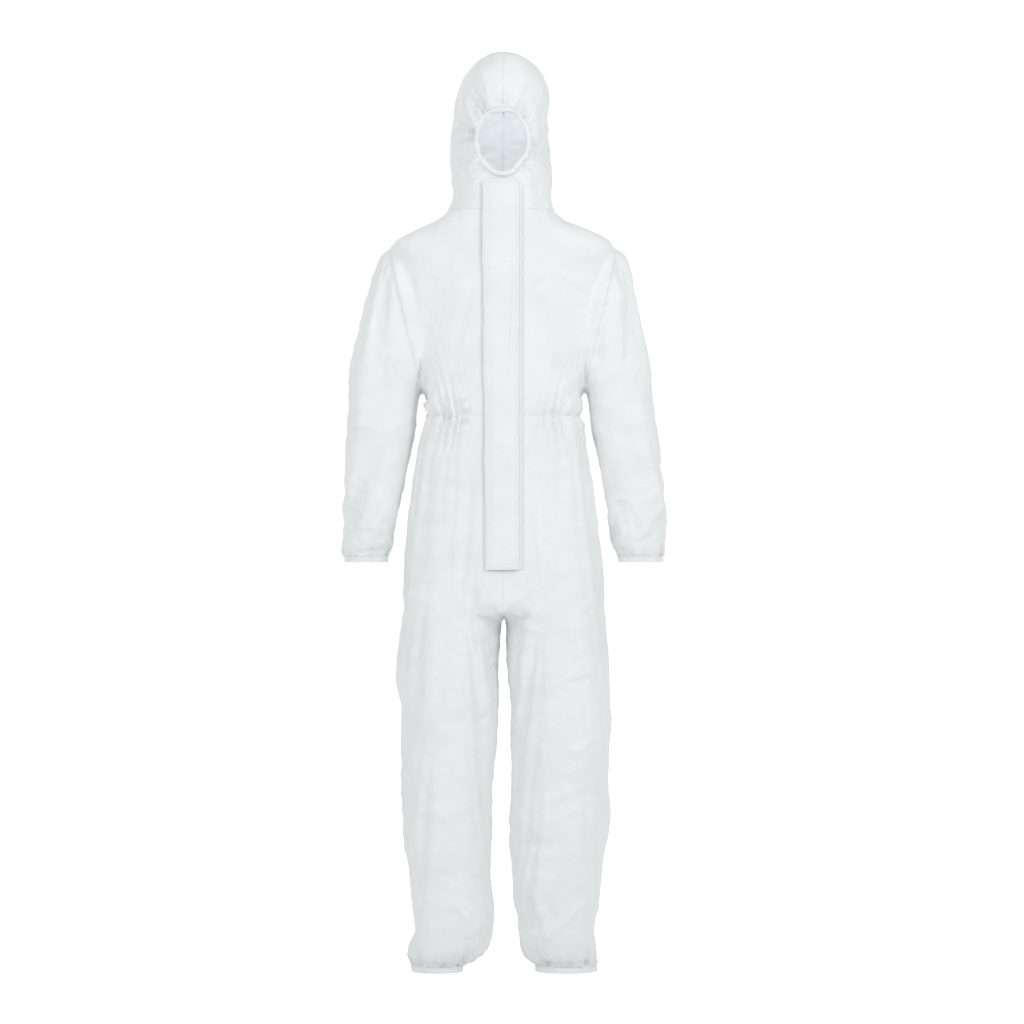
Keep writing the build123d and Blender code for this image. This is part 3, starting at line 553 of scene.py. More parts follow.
# Creases on the front: points as x, z in mm, height in mm (a valley is negative), width in mm.
CREASES = [
    # hood, wearer's right
    ([(-82, 226), (-62, 190), (-50, 152)], 4.5, 8), ([(-94, 190), (-72, 160), (-52, 128)], -4.5, 8),
    ([(-97, 140), (-74, 128), (-52, 112)], 4.0, 8), ([(-92, 92), (-70, 88), (-46, 92)], 3.5, 8),
    ([(-92, 60), (-62, 56), (-40, 66)], -3.5, 8), ([(-40, 262), (-30, 225), (-24, 190)], 3.0, 9),
    # hood, wearer's left
    ([(76, 226), (56, 184), (64, 130), (74, 80)], 3.5, 9), ([(46, 220), (44, 190), (48, 160)], -2.5, 7),
    ([(84, 60), (56, 46), (34, 52)], -3.0, 8), ([(86, 28), (60, 22), (38, 30)], 3.0, 9),
    # chest and shoulders
    ([(-150, -70), (-110, -56), (-70, -52)], 2.0, 10), ([(185, -150), (120, -128), (60, -122)], 2.0, 14),
    ([(-185, -180), (-120, -150), (-60, -140)], 2.2, 14), ([(160, -236), (110, -206), (60, -196)], -1.8, 12),
    ([(-160, -300), (-110, -262), (-66, -250)], 2.4, 14), ([(156, -310), (112, -280), (60, -268)], 2.4, 14),
    # hips and crotch
    ([(190, -515), (150, -520), (100, -512)], -2.2, 8), ([(-186, -560), (-130, -576), (-80, -570)], 2.2, 12),
    ([(0, -757), (-40, -722), (-80, -704)], 2.0, 9), ([(0, -757), (48, -722), (84, -712)], 2.2, 9),
    ([(-6, -762), (-60, -762), (-104, -776)], -1.6, 9), ([(6, -762), (40, -772), (70, -790)], -3.2, 9),
    ([(-6, -768), (-34, -806), (-70, -836)], 1.8, 10), ([(12, -768), (44, -796), (90, -812)], 2.6, 10),
    # wearer's right leg
    ([(-198, -972), (-184, -966), (-158, -984)], -3.6, 7), ([(-64, -980), (-36, -966), (-10, -956)], -2.6, 7),
    ([(-178, -976), (-172, -1050), (-170, -1180), (-160, -1310), (-172, -1420)], 2.6, 8),
    ([(-100, -1310), (-66, -1352), (-34, -1392)], 5.0, 11), ([(-150, -1180), (-110, -1150), (-60, -1140)], 2.6, 14),
    ([(-190, -858), (-140, -850), (-80, -872)], 2.6, 14),
    # wearer's left leg
    ([(24, -930), (34, -990), (26, -1060)], 4.0, 10), ([(18, -1222), (48, -1206), (96, -1212)], -3.4, 10),
    ([(44, -1260), (62, -1316), (86, -1386), (118, -1352), (168, -1306)], 5.0, 9), ([(76, -1300), (98, -1352)], -3.0, 9),
    ([(176, -1250), (150, -1284), (120, -1300)], 2.4, 9), ([(-150, -1270), (-110, -1264), (-78, -1282)], -2.2, 8),
    ([(190, -1000), (140, -1030), (96, -1024)], 2.6, 14), ([(186, -880), (150, -900), (110, -896)], -2.4, 12),
    # sleeves
    ([(246, -172), (214, -180), (186, -182)], -3.0, 6), ([(186, -206), (176, -232), (166, -250)], 3.0, 8),
    ([(-262, -250), (-226, -274), (-186, -280)], 3.0, 11), ([(-288, -402), (-244, -420), (-196, -412)], 3.2, 12),
    ([(290, -392), (244, -412), (200, -402)], 3.2, 12), ([(300, -520), (262, -548), (214, -540)], -3.0, 11),
    ([(-298, -500), (-258, -528), (-214, -520)], -3.0, 11), ([(-300, -590), (-262, -606), (-222, -604)], 3.0, 10),
    ([(306, -600), (268, -614), (226, -610)], 3.0, 10),
]
ZIP_STRIP = 0.030


def seam_distances(co):
    """Distance from each point to the nearest seam's plane, where the seam runs."""
    x, y, z = co.T
    arm = is_arm(co)
    d = np.full(len(co), 1.0)
    middle = (z > CROTCH_Z - 0.01) & ~(in_front(co) & (z > -0.70) & (z < 0.055))
    d = np.where(middle, np.minimum(d, np.abs(x)), d)
    near_arm = (z > UNDERARM_Z - 0.004) & (z < 0)
    d = np.where(near_arm, np.minimum(d, np.abs(past_armhole(co))), d)
    d = np.where(np.abs(x) < 0.16, np.minimum(d, np.abs(z - NECK_Z)), d)
    d = np.where(~arm & (z < 0), np.minimum(d, np.abs(y - SIDE_Y)), d)
    d = np.where(arm & (z < CUFF_Z + 0.03), np.minimum(d, np.abs(z - CUFF_Z - HEM)), d)
    d = np.where(z < ANKLE_Z + 0.03, np.minimum(d, np.abs(z - ANKLE_Z - HEM)), d)
    return d


def fold(skin):
    mesh = skin.data
    co, n = get_co(mesh), normals(mesh)
    x, y, z = co.T
    arm = in_sleeve(co)
    body = ~arm & (z < 0) & (z > CROTCH_Z)
    ax, ay = limb_axis(co)
    around = np.arctan2(y - ay, x - ax)
    facing = np.clip(-n[:, 1] * 1.6, 0, 1)
    lift = np.zeros(len(co))
    # waist: folds fan out above and below the elastic
    dz = z - WAIST_Z
    s = np.where(y < ay, x, np.sign(x) * 0.30 - x) / (1 + 2.2 * np.abs(dz))
    side_gain = np.where(y < ay, np.where(x < 0, 1.15, 0.95), 0.8)
    open_up = np.exp(-np.abs(dz) / 0.034) * (1 - np.exp(-np.abs(dz) / 0.006))
    lift += np.where(body, 7.0 * MM * side_gain * open_up * ripples(s, (0.019, 0.027, 0.036), 3), 0)
    lift += np.where(body, -4.0 * MM * bump(dz, 0, 0.008), 0)
    lift += np.where(body, 1.2 * MM * bump(dz, 0, 0.010) * ripples(s, (0.009, 0.013), 5), 0)
    # cuffs and ankles
    dz = z - CUFF_Z
    s = around * 0.042
    above = np.exp(-np.abs(dz - HEM) / 0.020) * (dz > HEM)
    lift += np.where(arm, 3.6 * MM * above * ripples(s, (0.010, 0.014, 0.02), 8), 0)
    lift += np.where(arm & (dz < HEM + 0.002), 0.7 * MM * ripples(s, (0.006, 0.008), 9), 0)
    dz = z - ANKLE_Z
    s = around * 0.056
    leg = z < CROTCH_Z
    above = np.exp(-np.abs(dz - HEM) / 0.030) * (dz > HEM)
    lift += np.where(leg, 5.6 * MM * above * ripples(s, (0.013, 0.019, 0.028), 11), 0)
    lift += np.where(leg & (dz < HEM + 0.002), 0.8 * MM * ripples(s, (0.007, 0.009), 12), 0)
    # face opening
    oval = (face_oval(co) - 1) * 0.05
    turn = np.arctan2(z - FACE_Z, x)
    at_face = (z > 0.02) & (y < -0.02)
    upper = 1 + 0.5 * bump(turn, 2.2, 0.7)
    ring = 4.2 * MM * upper * np.exp(-np.abs(oval - 0.014) / 0.020)
    lift += np.where(at_face, ring * ripples(turn * 0.05, (0.011, 0.016, 0.023), 14), 0)
    # creases of the front
    for points, height, width in CREASES:
        away, share = to_line(x, z, points)
        ends = np.sin(np.clip(share, 0.02, 0.98) * math.pi) ** 0.6
        reach = np.exp(-away / (width * MM)) * np.where(away < 0.08, 1, 0)
        lift += facing * ends * height * np.where(z > 0, 1.7, 1.25) * MM * reach
    # a fine uneven crumple all over
    for wave, size, seed in ((0.075, 0.9, 21), (0.033, 0.45, 22)):
        r = np.random.default_rng(seed)
        total = np.zeros(len(co))
        for _ in range(7):
            d = r.normal(size=3)
            d *= 2 * math.pi / (wave * r.uniform(0.7, 1.4)) / np.linalg.norm(d)
            total += np.sin(co @ d + r.uniform(0, 6.28))
        lift += size * np.where(z > 0, 2.0, 1.3) * MM * (1 - np.abs(total) / 2.4)
    # the sleeves start a little behind the armholes
    past = past_armhole(co)
    cap = (z < -0.05) & (z > UNDERARM_Z - 0.03) & (past > -0.001) & (np.abs(x) > 0.14)
    ledge = np.where(cap, np.exp(-np.maximum(past - 0.004, 0) / 0.030) * smoothstep(past, -0.001, 0.005), 0)
    lift -= 5.5 * MM * ledge * smoothstep(-z, 0.06, 0.12) * (1 - smoothstep(-z, 0.27, 0.33)) * facing
    # nothing lifts at the cut edges, or where the zip lies
    strip = in_front(co) & (z > -0.76) & (z < 0.07)
    keep = np.maximum(smoothstep(np.abs(x), ZIP_STRIP, 0.062), smoothstep(-z, 0.69, 0.75))
    lift *= np.where(strip, keep, 1)
    lift *= np.where(at_face, smoothstep(oval, 0.0, 0.006), 1)
    seam = seam_distances(co)
    lift -= 1.5 * MM * np.exp(-((seam / 0.0016) ** 2)) * np.where(strip, keep, 1)
    co += n * lift[:, None]
    pressed = np.interp(-z, [0.976, 1.05, 1.18, 1.31, 1.42], [-0.178, -0.172, -0.170, -0.160, -0.172])
    behind = (z < -0.955) & (z > -1.43) & (x < 0) & ~arm & (y < LEG_Y)
    back = smoothstep(pressed - x, -0.001, 0.016) * smoothstep(-z, 0.96, 1.0) * (1 - smoothstep(-z, 1.39, 1.43))
    co[:, 1] += np.where(behind, 0.016 * back * np.clip((LEG_Y - y) / 0.05, 0, 1), 0)
    flat_y = strip_y(x, z)
    hold = np.where(strip & (np.abs(x) < 0.075), 1 - smoothstep(np.abs(x), ZIP_STRIP + 0.008, 0.07), 0)
    hold *= smoothstep(z, -0.76, -0.685) * (1 - smoothstep(z, 0.050, 0.066))
    co[:, 1] += hold * (flat_y - co[:, 1])
    set_co(mesh, co)


def clear_of_slot(c):
    return ~((np.abs(c[:, 0]) < SLOT) & (c[:, 1] < front(c[:, 2]) + 0.02) & (c[:, 2] > -0.681) & (c[:, 2] < 0.052))


skin = open_ends(make_skin())
settle(skin)
sub = skin.modifiers.new("sub", "SUBSURF")
sub.levels = sub.render_levels = 1
apply_all(skin)
cut_seams(skin)
flat = get_co(skin.data)
fold(skin)

# ---------------------------------------------------------------- the skin's faces are shared out between panels
mesh = skin.data
co, skin_normals = get_co(mesh), normals(mesh)
loops = np.empty(len(mesh.loops), np.int64)
mesh.loops.foreach_get("vertex_index", loops)
starts, sizes = np.empty(len(mesh.polygons), np.int64), np.empty(len(mesh.polygons), np.int64)
mesh.polygons.foreach_get("loop_start", starts)
mesh.polygons.foreach_get("loop_total", sizes)
centre = np.add.reduceat(flat[loops], starts, axis=0) / sizes[:, None]
cx, cy, cz = centre.T
arm = is_arm(centre)
is_hood = (cz > NECK_Z) & ~arm
keep_face = clear_of_slot(centre)
SIDE_NAME = {-1: "right", 1: "left"}


def panel(name, mask, body=None, joined=None, thickness=FABRIC, nodes=()):
    """One piece of the skin, given its thickness. It rides on body, or, when joined is given, has its transform baked
    and stays unattached.
    """
    index = np.nonzero(mask & keep_face)[0]
    used = np.unique(np.concatenate([loops[starts[i]:starts[i] + sizes[i]] for i in index]))
    new = np.full(len(co), -1)
    new[used] = np.arange(len(used))
    faces = [tuple(int(new[k]) for k in loops[starts[i]:starts[i] + sizes[i]]) for i in index]
    obj = make_object(name, co[used], faces)
    solid = obj.modifiers.new("solid", "SOLIDIFY")
    solid.thickness = thickness
    solid.offset = -1
    apply_all(obj)
    obj.data.polygons.foreach_set("use_smooth", np.ones(len(obj.data.polygons), bool))
    n = skin_normals[used]
    obj.data.normals_split_custom_set_from_vertices(np.vstack([n, -n]))
    if joined:
        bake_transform(obj)
    else:
        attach(obj, body)
    if nodes:
        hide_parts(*nodes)
    return obj


HOOD_BEND = ("torso", "hood", (0, 0, -0.002), (0, 0, 0.078))


def shoulder_bend(side):
    start = np.array([side * SHOULDER_X, ARM_Y, SHOULDER_Z])
    end = start + np.array([side * ARMHOLE[0], 0, ARMHOLE[2]]) * 0.0125
    return ("torso", f"{SIDE_NAME[side]}_upper_arm", tuple(start), tuple(end))


def elbow_bend(side):
    start = (0, 0, SLEEVE_CUT_Z - 0.003)
    return (f"{SIDE_NAME[side]}_upper_arm", f"{SIDE_NAME[side]}_forearm", start, (0, 0, -0.480))


def hip_bend(side):
    d = np.array([side * 0.35, 0, -0.94]) * 0.13
    start = np.array([0, LEG_Y, CROTCH_Z])
    return ("torso", f"{SIDE_NAME[side]}_thigh", tuple(start), tuple(start + d))


def knee_bend(side):
    return (f"{SIDE_NAME[side]}_thigh", f"{SIDE_NAME[side]}_shin", (0, 0, -1.0), (0, 0, -1.2))


for side, hand in SIDE_NAME.items():
    mine = np.sign(cx) == side
    before = cy < SIDE_Y
    upper = ~arm & (cz < NECK_Z) & (cz > WAIST_Z)
    pelvis = ~arm & (cz < WAIST_Z) & (cz > THIGH_CUT_Z)
    lower = ~arm & (cz < THIGH_CUT_Z) & (cz > ANKLE_Z + HEM)
    hood_nodes = [f"hood_{hand}_panel"] + (["neck_fabric"] if side < 0 else [])
    panel(f"hood_{hand}", is_hood & mine, joined=HOOD_BEND, nodes=hood_nodes)
    panel(f"front_{hand}", upper & mine & before, "torso", nodes=[f"front_{hand}_panel"])
    panel(f"back_{hand}", upper & mine & ~before, "torso", nodes=[f"back_{hand}_panel"])
    panel(f"hip_front_{hand}", pelvis & mine & before, joined=hip_bend(side),
          nodes=[f"{hand}_hip_fabric", f"{hand}_thigh_front"] + (["crotch_fabric"] if side < 0 else []))
    panel(f"hip_back_{hand}", pelvis & mine & ~before, joined=hip_bend(side),
          nodes=[f"{hand}_thigh_back"])
    panel(f"leg_front_{hand}", lower & mine & before, joined=knee_bend(side),
          nodes=[f"{hand}_knee_fabric", f"{hand}_shin_front"])
    panel(f"leg_back_{hand}", lower & mine & ~before, joined=knee_bend(side), nodes=[f"{hand}_shin_back"])
    panel(f"ankle_hem_{hand}", ~arm & mine & (cz < ANKLE_Z + HEM), f"{hand}_shin", thickness=HEM_THICKNESS,
          nodes=[f"{hand}_ankle_hem", f"{hand}_ankle_elastic"])
    panel(f"sleeve_top_{hand}", arm & mine & (cz > SLEEVE_CUT_Z), joined=shoulder_bend(side),
          nodes=[f"{hand}_shoulder_fabric", f"{hand}_upper_sleeve"])
    panel(f"sleeve_low_{hand}", arm & mine & (cz < SLEEVE_CUT_Z) & (cz > CUFF_Z + HEM), joined=elbow_bend(side),
          nodes=[f"{hand}_elbow_fabric", f"{hand}_lower_sleeve"])
    panel(f"cuff_hem_{hand}", arm & mine & (cz < CUFF_Z + HEM), f"{hand}_forearm", thickness=HEM_THICKNESS,
          nodes=[f"{hand}_cuff_hem", f"{hand}_cuff_elastic"])

# ---------------------------------------------------------------- sewn lines: a row of stitches along each seam
edges = edge_array(mesh)


def chains(mask):
    """The edges that mask picks, joined end to end into lists of points."""
    picked = edges[mask]
    links = {}
    for a, b in picked.tolist():
        links.setdefault(a, []).append(b)
        links.setdefault(b, []).append(a)
    done, out = set(), []
    for first in sorted(links, key=lambda k: (len(links[k]) == 2, k)):
        if first in done:
            continue
        run, here, last = [first], first, None
        done.add(first)
        while True:
            onward = [k for k in links[here] if k != last and k not in done]
            if not onward:
                break
            last, here = here, onward[0]
            done.add(here)
            run.append(here)
        if first in links[here] and len(run) > 2:
            run.append(first)
        if len(run) > 3:
            out.append(run)
    return out


def smooth_line(points, step):
    points = np.array(points, float)
    for _ in range(3):
        points[1:-1] = 0.5 * points[1:-1] + 0.25 * (points[:-2] + points[2:])
    along = np.concatenate([[0], np.cumsum(np.linalg.norm(np.diff(points, axis=0), axis=1))])
    at = np.linspace(0, along[-1], max(4, int(along[-1] / step)))
    return np.stack([np.interp(at, along, points[:, k]) for k in range(3)], 1), at


def stitched(name, lines, radius=0.55 * MM, pitch=3.2 * MM, lift=0.25 * MM, sides=6):
    """Tubes that swell at each stitch. A line is a list of (point, normal)."""
    points, faces = [], []
    for line, up in lines:
        path, at = smooth_line(line, pitch / 4)
        ups, _ = smooth_line(up, 1)
        share, had = np.linspace(0, 1, len(path)), np.linspace(0, 1, len(ups))
        ups = np.stack([np.interp(share, had, ups[:, k]) for k in range(3)], 1)
        ups /= np.linalg.norm(ups, axis=1)[:, None]
        ahead = np.gradient(path, axis=0)
        ahead /= np.maximum(np.linalg.norm(ahead, axis=1), 1e-9)[:, None]
        across = np.cross(ahead, ups)
        across /= np.maximum(np.linalg.norm(across, axis=1), 1e-9)[:, None]
        swell = radius * (0.45 + 0.55 * np.abs(np.sin(at * math.pi / pitch)))
        base = len(points)
        for k in range(sides):
            turn = 2 * math.pi * k / sides
            points.append(path + ups * lift + swell[:, None] * (across * math.cos(turn) + ups * math.sin(turn) * 0.7))
        n = len(path)
        offset = sum(len(p) for p in points[:base])
        for k in range(sides):
            a, b = offset + k * n, offset + ((k + 1) % sides) * n
            faces += [(a + i, a + i + 1, b + i + 1, b + i) for i in range(n - 1)]
        faces.append(tuple(offset + k * n for k in range(sides)))
        faces.append(tuple(offset + k * n + n - 1 for k in range(sides))[::-1])
    obj = make_object(name, np.vstack(points), faces)
    for p in obj.data.polygons:
        p.use_smooth = True
    return obj


END_A, END_B = flat[edges[:, 0]], flat[edges[:, 1]]
MID = (END_A + END_B) / 2
MX, MY, MZ = MID.T
edge_arm = is_arm(MID)
ON_PLANE = 6e-5          # a little more than the distance within which cut() joins points


def on(value):
    """The edges with both ends on the surface where value is 0."""
    return (np.abs(value(END_A)) < ON_PLANE) & (np.abs(value(END_B)) < ON_PLANE)


def lines_of(mask, least=0.03):
    runs = [(co[run], skin_normals[run]) for run in chains(mask)]
    return [(l, u) for l, u in runs if np.linalg.norm(np.diff(l, axis=0), axis=1).sum() > least]


def seam(name, mask, body=None, joined=None, nodes=(), **more):
    obj = stitched(name, lines_of(mask), **more)
    if joined:
        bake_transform(obj)
    else:
        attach(obj, body)
    if nodes:
        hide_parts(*nodes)
    return obj


def sweep(name, path, ups, section, around=0.0):
    """A closed band along a closed path. The section is (across, up) offsets, or a function of the share of the way."""
    path, ups = path[:-1], ups[:-1]
    count = len(path)
    ahead = np.roll(path, -1, axis=0) - np.roll(path, 1, axis=0)
    ahead /= np.linalg.norm(ahead, axis=1)[:, None]
    across = np.cross(ahead, ups)
    across /= np.linalg.norm(across, axis=1)[:, None]
    share = np.arange(count) / count
    rings = section(share) if callable(section) else [(np.full(count, a), np.full(count, u)) for a, u in section]
    points = [path + across * a[:, None] + ups * u[:, None] for a, u in rings]
    faces = []
    for k in range(len(rings)):
        m = (k + 1) % len(rings)
        for i in range(count):
            j = (i + 1) % count
            faces.append((k * count + i, k * count + j, m * count + j, m * count + i))
    obj = make_object(name, np.vstack(points), faces)
    fix_normals(obj)
    return obj


def fix_normals(obj):
    bm = bmesh.new()
    bm.from_mesh(obj.data)
    bmesh.ops.recalc_face_normals(bm, faces=bm.faces)
    bm.to_mesh(obj.data)
    bm.free()
    obj.data.polygons.foreach_set("use_smooth", np.ones(len(obj.data.polygons), bool))


def even(path, ups, count):
    """A closed path at count even steps."""
    along = np.concatenate([[0], np.cumsum(np.linalg.norm(np.diff(path, axis=0), axis=1))])
    at = np.linspace(0, along[-1], count + 1)
    p = np.stack([np.interp(at, along, path[:, k]) for k in range(3)], 1)
    u = np.stack([np.interp(at, along, ups[:, k]) for k in range(3)], 1)
    for _ in range(4):
        p[:-1] = 0.5 * p[:-1] + 0.25 * (np.roll(p[:-1], 1, 0) + np.roll(p[:-1], -1, 0))
        u[:-1] = 0.5 * u[:-1] + 0.25 * (np.roll(u[:-1], 1, 0) + np.roll(u[:-1], -1, 0))
        p[-1], u[-1] = p[0], u[0]
    return p, u / np.linalg.norm(u, axis=1)[:, None]


body_edge = off_arm(MID) & (MZ < NECK_Z)
for side, hand in SIDE_NAME.items():
    mine = MX * side > 0
    seam(f"seam_armhole_{hand}", on(past_armhole) & mine & (MZ < -0.02) & (MZ > UNDERARM_Z - 0.006), "torso")
    at_side = on(lambda c: c[:, 1] - SIDE_Y) & body_edge & mine
    seam(f"seam_side_{hand}", at_side & (MZ > WAIST_Z), "torso")
    seam(f"seam_hip_{hand}", at_side & (MZ < WAIST_Z) & (MZ > THIGH_CUT_Z), joined=hip_bend(side))
    seam(f"seam_leg_{hand}", at_side & (MZ < THIGH_CUT_Z) & (MZ > ANKLE_Z + HEM), joined=knee_bend(side))
    seam(f"seam_cuff_{hand}", on(lambda c: c[:, 2] - CUFF_Z - HEM) & edge_arm & mine, f"{hand}_forearm")
    seam(f"seam_ankle_{hand}", on(lambda c: c[:, 2] - ANKLE_Z - HEM) & ~edge_arm & mine, f"{hand}_shin")
middle = on(lambda c: c[:, 0])
seam("seam_hood", middle & (MZ > NECK_Z) & (~in_front(MID) | (MZ > 0.055)), joined=HOOD_BEND)
seam("seam_back", middle & (MZ < NECK_Z) & (MY > SIDE_Y) & (MZ > CROTCH_Z), "torso")
seam("seam_front", middle & (MZ < FLAP_LOW.z) & (MY < SIDE_Y) & (MZ > CROTCH_Z), "torso")
seam("seam_neck", on(lambda c: c[:, 2] - NECK_Z) & (~in_front(MID) | (np.abs(MX) > 0.040)), "torso")
waist_mask = on(lambda c: c[:, 2] - WAIST_Z) & ~edge_arm & (~in_front(MID) | (np.abs(MX) > SLOT + 0.001))
seam("seam_waist", waist_mask, "torso", pitch=4.5 * MM)

# The elastic behind the waist's stitches, in one length along the longest of their lines, from one side of the zip to
# the other.
waist_lines = lines_of(waist_mask, 0.2)


def ribbon(name, path, ups, wide, deep, sink, body, ripple=0.0, seed=1):
    """A flat strip along an open path, lying across it by wide and standing off it by -sink."""
    n = len(path)
    ahead = np.gradient(path, axis=0)
    ahead /= np.linalg.norm(ahead, axis=1)[:, None]
    across = np.cross(ahead, ups)
    across /= np.linalg.norm(across, axis=1)[:, None]
    at = np.concatenate([[0], np.cumsum(np.linalg.norm(np.diff(path, axis=0), axis=1))])
    wave = ripple * ripples(at, (0.009, 0.013), seed) if ripple else np.zeros(n)
    stops = np.linspace(-0.5, 0.5, 5)
    rings = [(a * wide, -sink) for a in stops] + [(a * wide, -sink - deep) for a in stops[::-1]]
    points = [path + across * a + ups * (u + wave * (1 if abs(a) < wide * 0.4 else 0.4))[:, None] for a, u in rings]
    faces, m = [], len(rings)
    for k in range(m):
        faces += [(k * n + i, k * n + i + 1, (k + 1) % m * n + i + 1, (k + 1) % m * n + i) for i in range(n - 1)]
    faces += [tuple(k * n for k in range(m)), tuple(k * n + n - 1 for k in range(m))[::-1]]
    obj = make_object(name, np.vstack(points), faces)
    fix_normals(obj)
    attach(obj, body)
    return obj


def evenly(path, ups, step=0.0015):
    p, at = smooth_line(path, step)
    u, _ = smooth_line(ups, 1)
    t = np.linspace(0, 1, len(p))
    u = np.stack([np.interp(t, np.linspace(0, 1, len(ups)), ups[:, k]) for k in range(3)], 1)
    return p, u / np.linalg.norm(u, axis=1)[:, None]


path, ups = evenly(*max(waist_lines, key=lambda l: len(l[0])))
waist = ribbon("waist_band", path, ups, 0.011, 0.0008, 0.0016, "torso", 0.0005)
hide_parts("waist_elastic")

# ---------------------------------------------------------------- the gathered hem around the face
face_pairs = np.stack([loops, np.concatenate([loops[1:], loops[:1]])], 1)
last = starts + sizes - 1
face_pairs[last, 1] = loops[starts]
counted = Counter(map(tuple, np.sort(face_pairs, axis=1).tolist()))
rim = np.array([counted[tuple(pair)] == 1 for pair in np.sort(edges, axis=1).tolist()])
face_lines = lines_of(rim & (MZ > 0.03) & (MY < 0), 0.1)
path, ups = even(*face_lines[0], 420)
FACE_MIDDLE = np.array([(FACE_LOW.x + FACE_HIGH.x) / 2, path[:, 1].mean(), (FACE_LOW.z + FACE_HIGH.z) / 2])
# across points away from the opening's middle, whichever way the path runs
turn = np.cross(np.roll(path[:-1], -1, 0) - path[:-1], ups[:-1])
outward = 1 if (turn * (path[:-1] - FACE_MIDDLE)).sum() > 0 else -1


def face_section(share):
    s = share * 0.36
    pucker = ripples(s, (0.0055, 0.0075, 0.012), 31)
    soft = ripples(s, (0.016, 0.024), 33)
    rings = []
    for k in range(14):
        t = 2 * math.pi * k / 14
        a = 4.0 * MM + math.cos(t) * (5.0 * MM + 0.7 * MM * soft)
        u = 0.4 * MM + math.sin(t) * (1.9 * MM + (0.75 * MM * pucker if math.sin(t) > 0 else 0))
        rings.append((outward * a, u + 0 * a))
    return rings


face_rim = sweep("face_rim", path, ups, face_section)
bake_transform(face_rim)
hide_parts("face_hem", "face_elastic")


def face_stitch(offset, name):
    """A row of stitches round the face, offset outwards from the opening's edge."""
    ahead = np.roll(path[:-1], -1, 0) - np.roll(path[:-1], 1, 0)
    ahead /= np.linalg.norm(ahead, axis=1)[:, None]
    across = np.cross(ahead, ups[:-1])
    line = path[:-1] + across * outward * offset + ups[:-1] * 0.0012
    line = np.vstack([line, line[:1]])
    obj = stitched(name, [(line, ups)], radius=0.45 * MM, pitch=2.6 * MM)
    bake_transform(obj)


face_stitch(0.0098, "seam_face")

# ---------------------------------------------------------------- storm flap
FLAP_LEAN = 0.0035
# Creases across the flap: z at its free edge and at its sewn edge, height in mm, and width.
FLAP_CREASES = ((-0.10, -0.13, 0.9, 0.007), (-0.275, -0.262, -1.0, 0.005), (-0.44, -0.455, 0.9, 0.006),
                (-0.55, -0.57, 0.8, 0.009), (0.02, 0.005, 0.9, 0.006), (-0.64, -0.655, -0.8, 0.006))


def flap_free(z):
    """X of the flap's free edge: it leans out a little towards the top, and wanders."""
    share = (z - FLAP_LOW.z) / (FLAP_HIGH.z - FLAP_LOW.z)
    return FLAP_LOW.x - FLAP_LEAN * (2 * share - 1) + 0.7 * MM * np.sin(z * 31 + 1) + 0.4 * MM * np.sin(z * 83)


def flap_out(u, z):
    """How far the flap's face stands in front of the front line, at share u from free to sewn edge."""
    edge, crown = 3.2 * MM, 8.0 * MM
    rise = smoothstep(u, 0.0, 0.30) * (1 - smoothstep(u, 0.70, 1.0))
    out = edge + (crown - edge) * rise - 1.8 * MM * smoothstep(u, 0.85, 1.0)
    inside = np.sin(np.clip(u, 0, 1) * math.pi)
    wave = 0.55 * np.sin(z * 43 + 5 * u) + 0.4 * np.sin(z * 97 - 7 * u + 1) + 0.3 * np.sin(z * 171 + 4 * u)
    pinch = bump(z, WAIST_Z, 0.022) * (0.3 * np.sin(z * 420 + 3 * u) - 1.2) * inside
    free_lift = 0.4 * (1 - smoothstep(u, 0.0, 0.18)) * (np.sin(z * 26 + 2) + 0.5 * np.sin(z * 61))
    lines = 0.0
    for za, zb, height, width in FLAP_CREASES:
        lines = lines + height * bump(z, za + (zb - za) * u, width)
    return out + MM * (wave * inside * 0.6 + pinch + free_lift + lines * inside)


def grid_solid(name, top, bottom, rows, cols):
    """A closed solid between two grids of rows x cols points."""
    n = rows * cols
    faces = []
    for r in range(rows - 1):
        for c in range(cols - 1):
            q = (r * cols + c, r * cols + c + 1, (r + 1) * cols + c + 1, (r + 1) * cols + c)
            faces += [q, tuple(n + k for k in q[::-1])]
    edge = list(range(cols)) + [r * cols + cols - 1 for r in range(1, rows)]
    edge += [(rows - 1) * cols + c for c in range(cols - 2, -1, -1)]
    edge += [r * cols for r in range(rows - 2, 0, -1)]
    for a, b in zip(edge, edge[1:] + edge[:1]):
        faces.append((b, a, n + a, n + b))
    obj = make_object(name, np.vstack([top, bottom]), faces)
    fix_normals(obj)
    return obj


def grid(low_z, high_z, rows, low_x, high_x, cols):
    """The z and x of every point of a grid, row by row."""
    z, x = np.meshgrid(np.linspace(low_z, high_z, rows), np.linspace(low_x, high_x, cols), indexing="ij")
    return z.ravel(), x.ravel()


rows, cols = 520, 37
ZZ, UU = grid(FLAP_LOW.z + 0.0005, FLAP_HIGH.z - 0.0005, rows, 0, 1, cols)
corner = 0.004 * (1 - smoothstep(UU, 0.0, 0.09)) * smoothstep(ZZ, FLAP_HIGH.z - 0.006, FLAP_HIGH.z)
left = flap_free(ZZ)
XX = left + (FLAP_HIGH.x - left) * UU
OUT = flap_out(UU, ZZ)
top = np.stack([XX, front(ZZ) - OUT, ZZ - corner], 1)
bottom = top + np.array([0, 1.1 * MM, 0])
flap = grid_solid("flap_cover", top, bottom, rows, cols)
rounded = flap.modifiers.new("edge", "BEVEL")
rounded.width = 0.45 * MM
rounded.segments = 2
rounded.limit_method = "ANGLE"
rounded.angle_limit = math.radians(50)
apply_all(flap)
flap.data.polygons.foreach_set("use_smooth", np.ones(len(flap.data.polygons), bool))
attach(flap, "flap")
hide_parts("storm_flap")


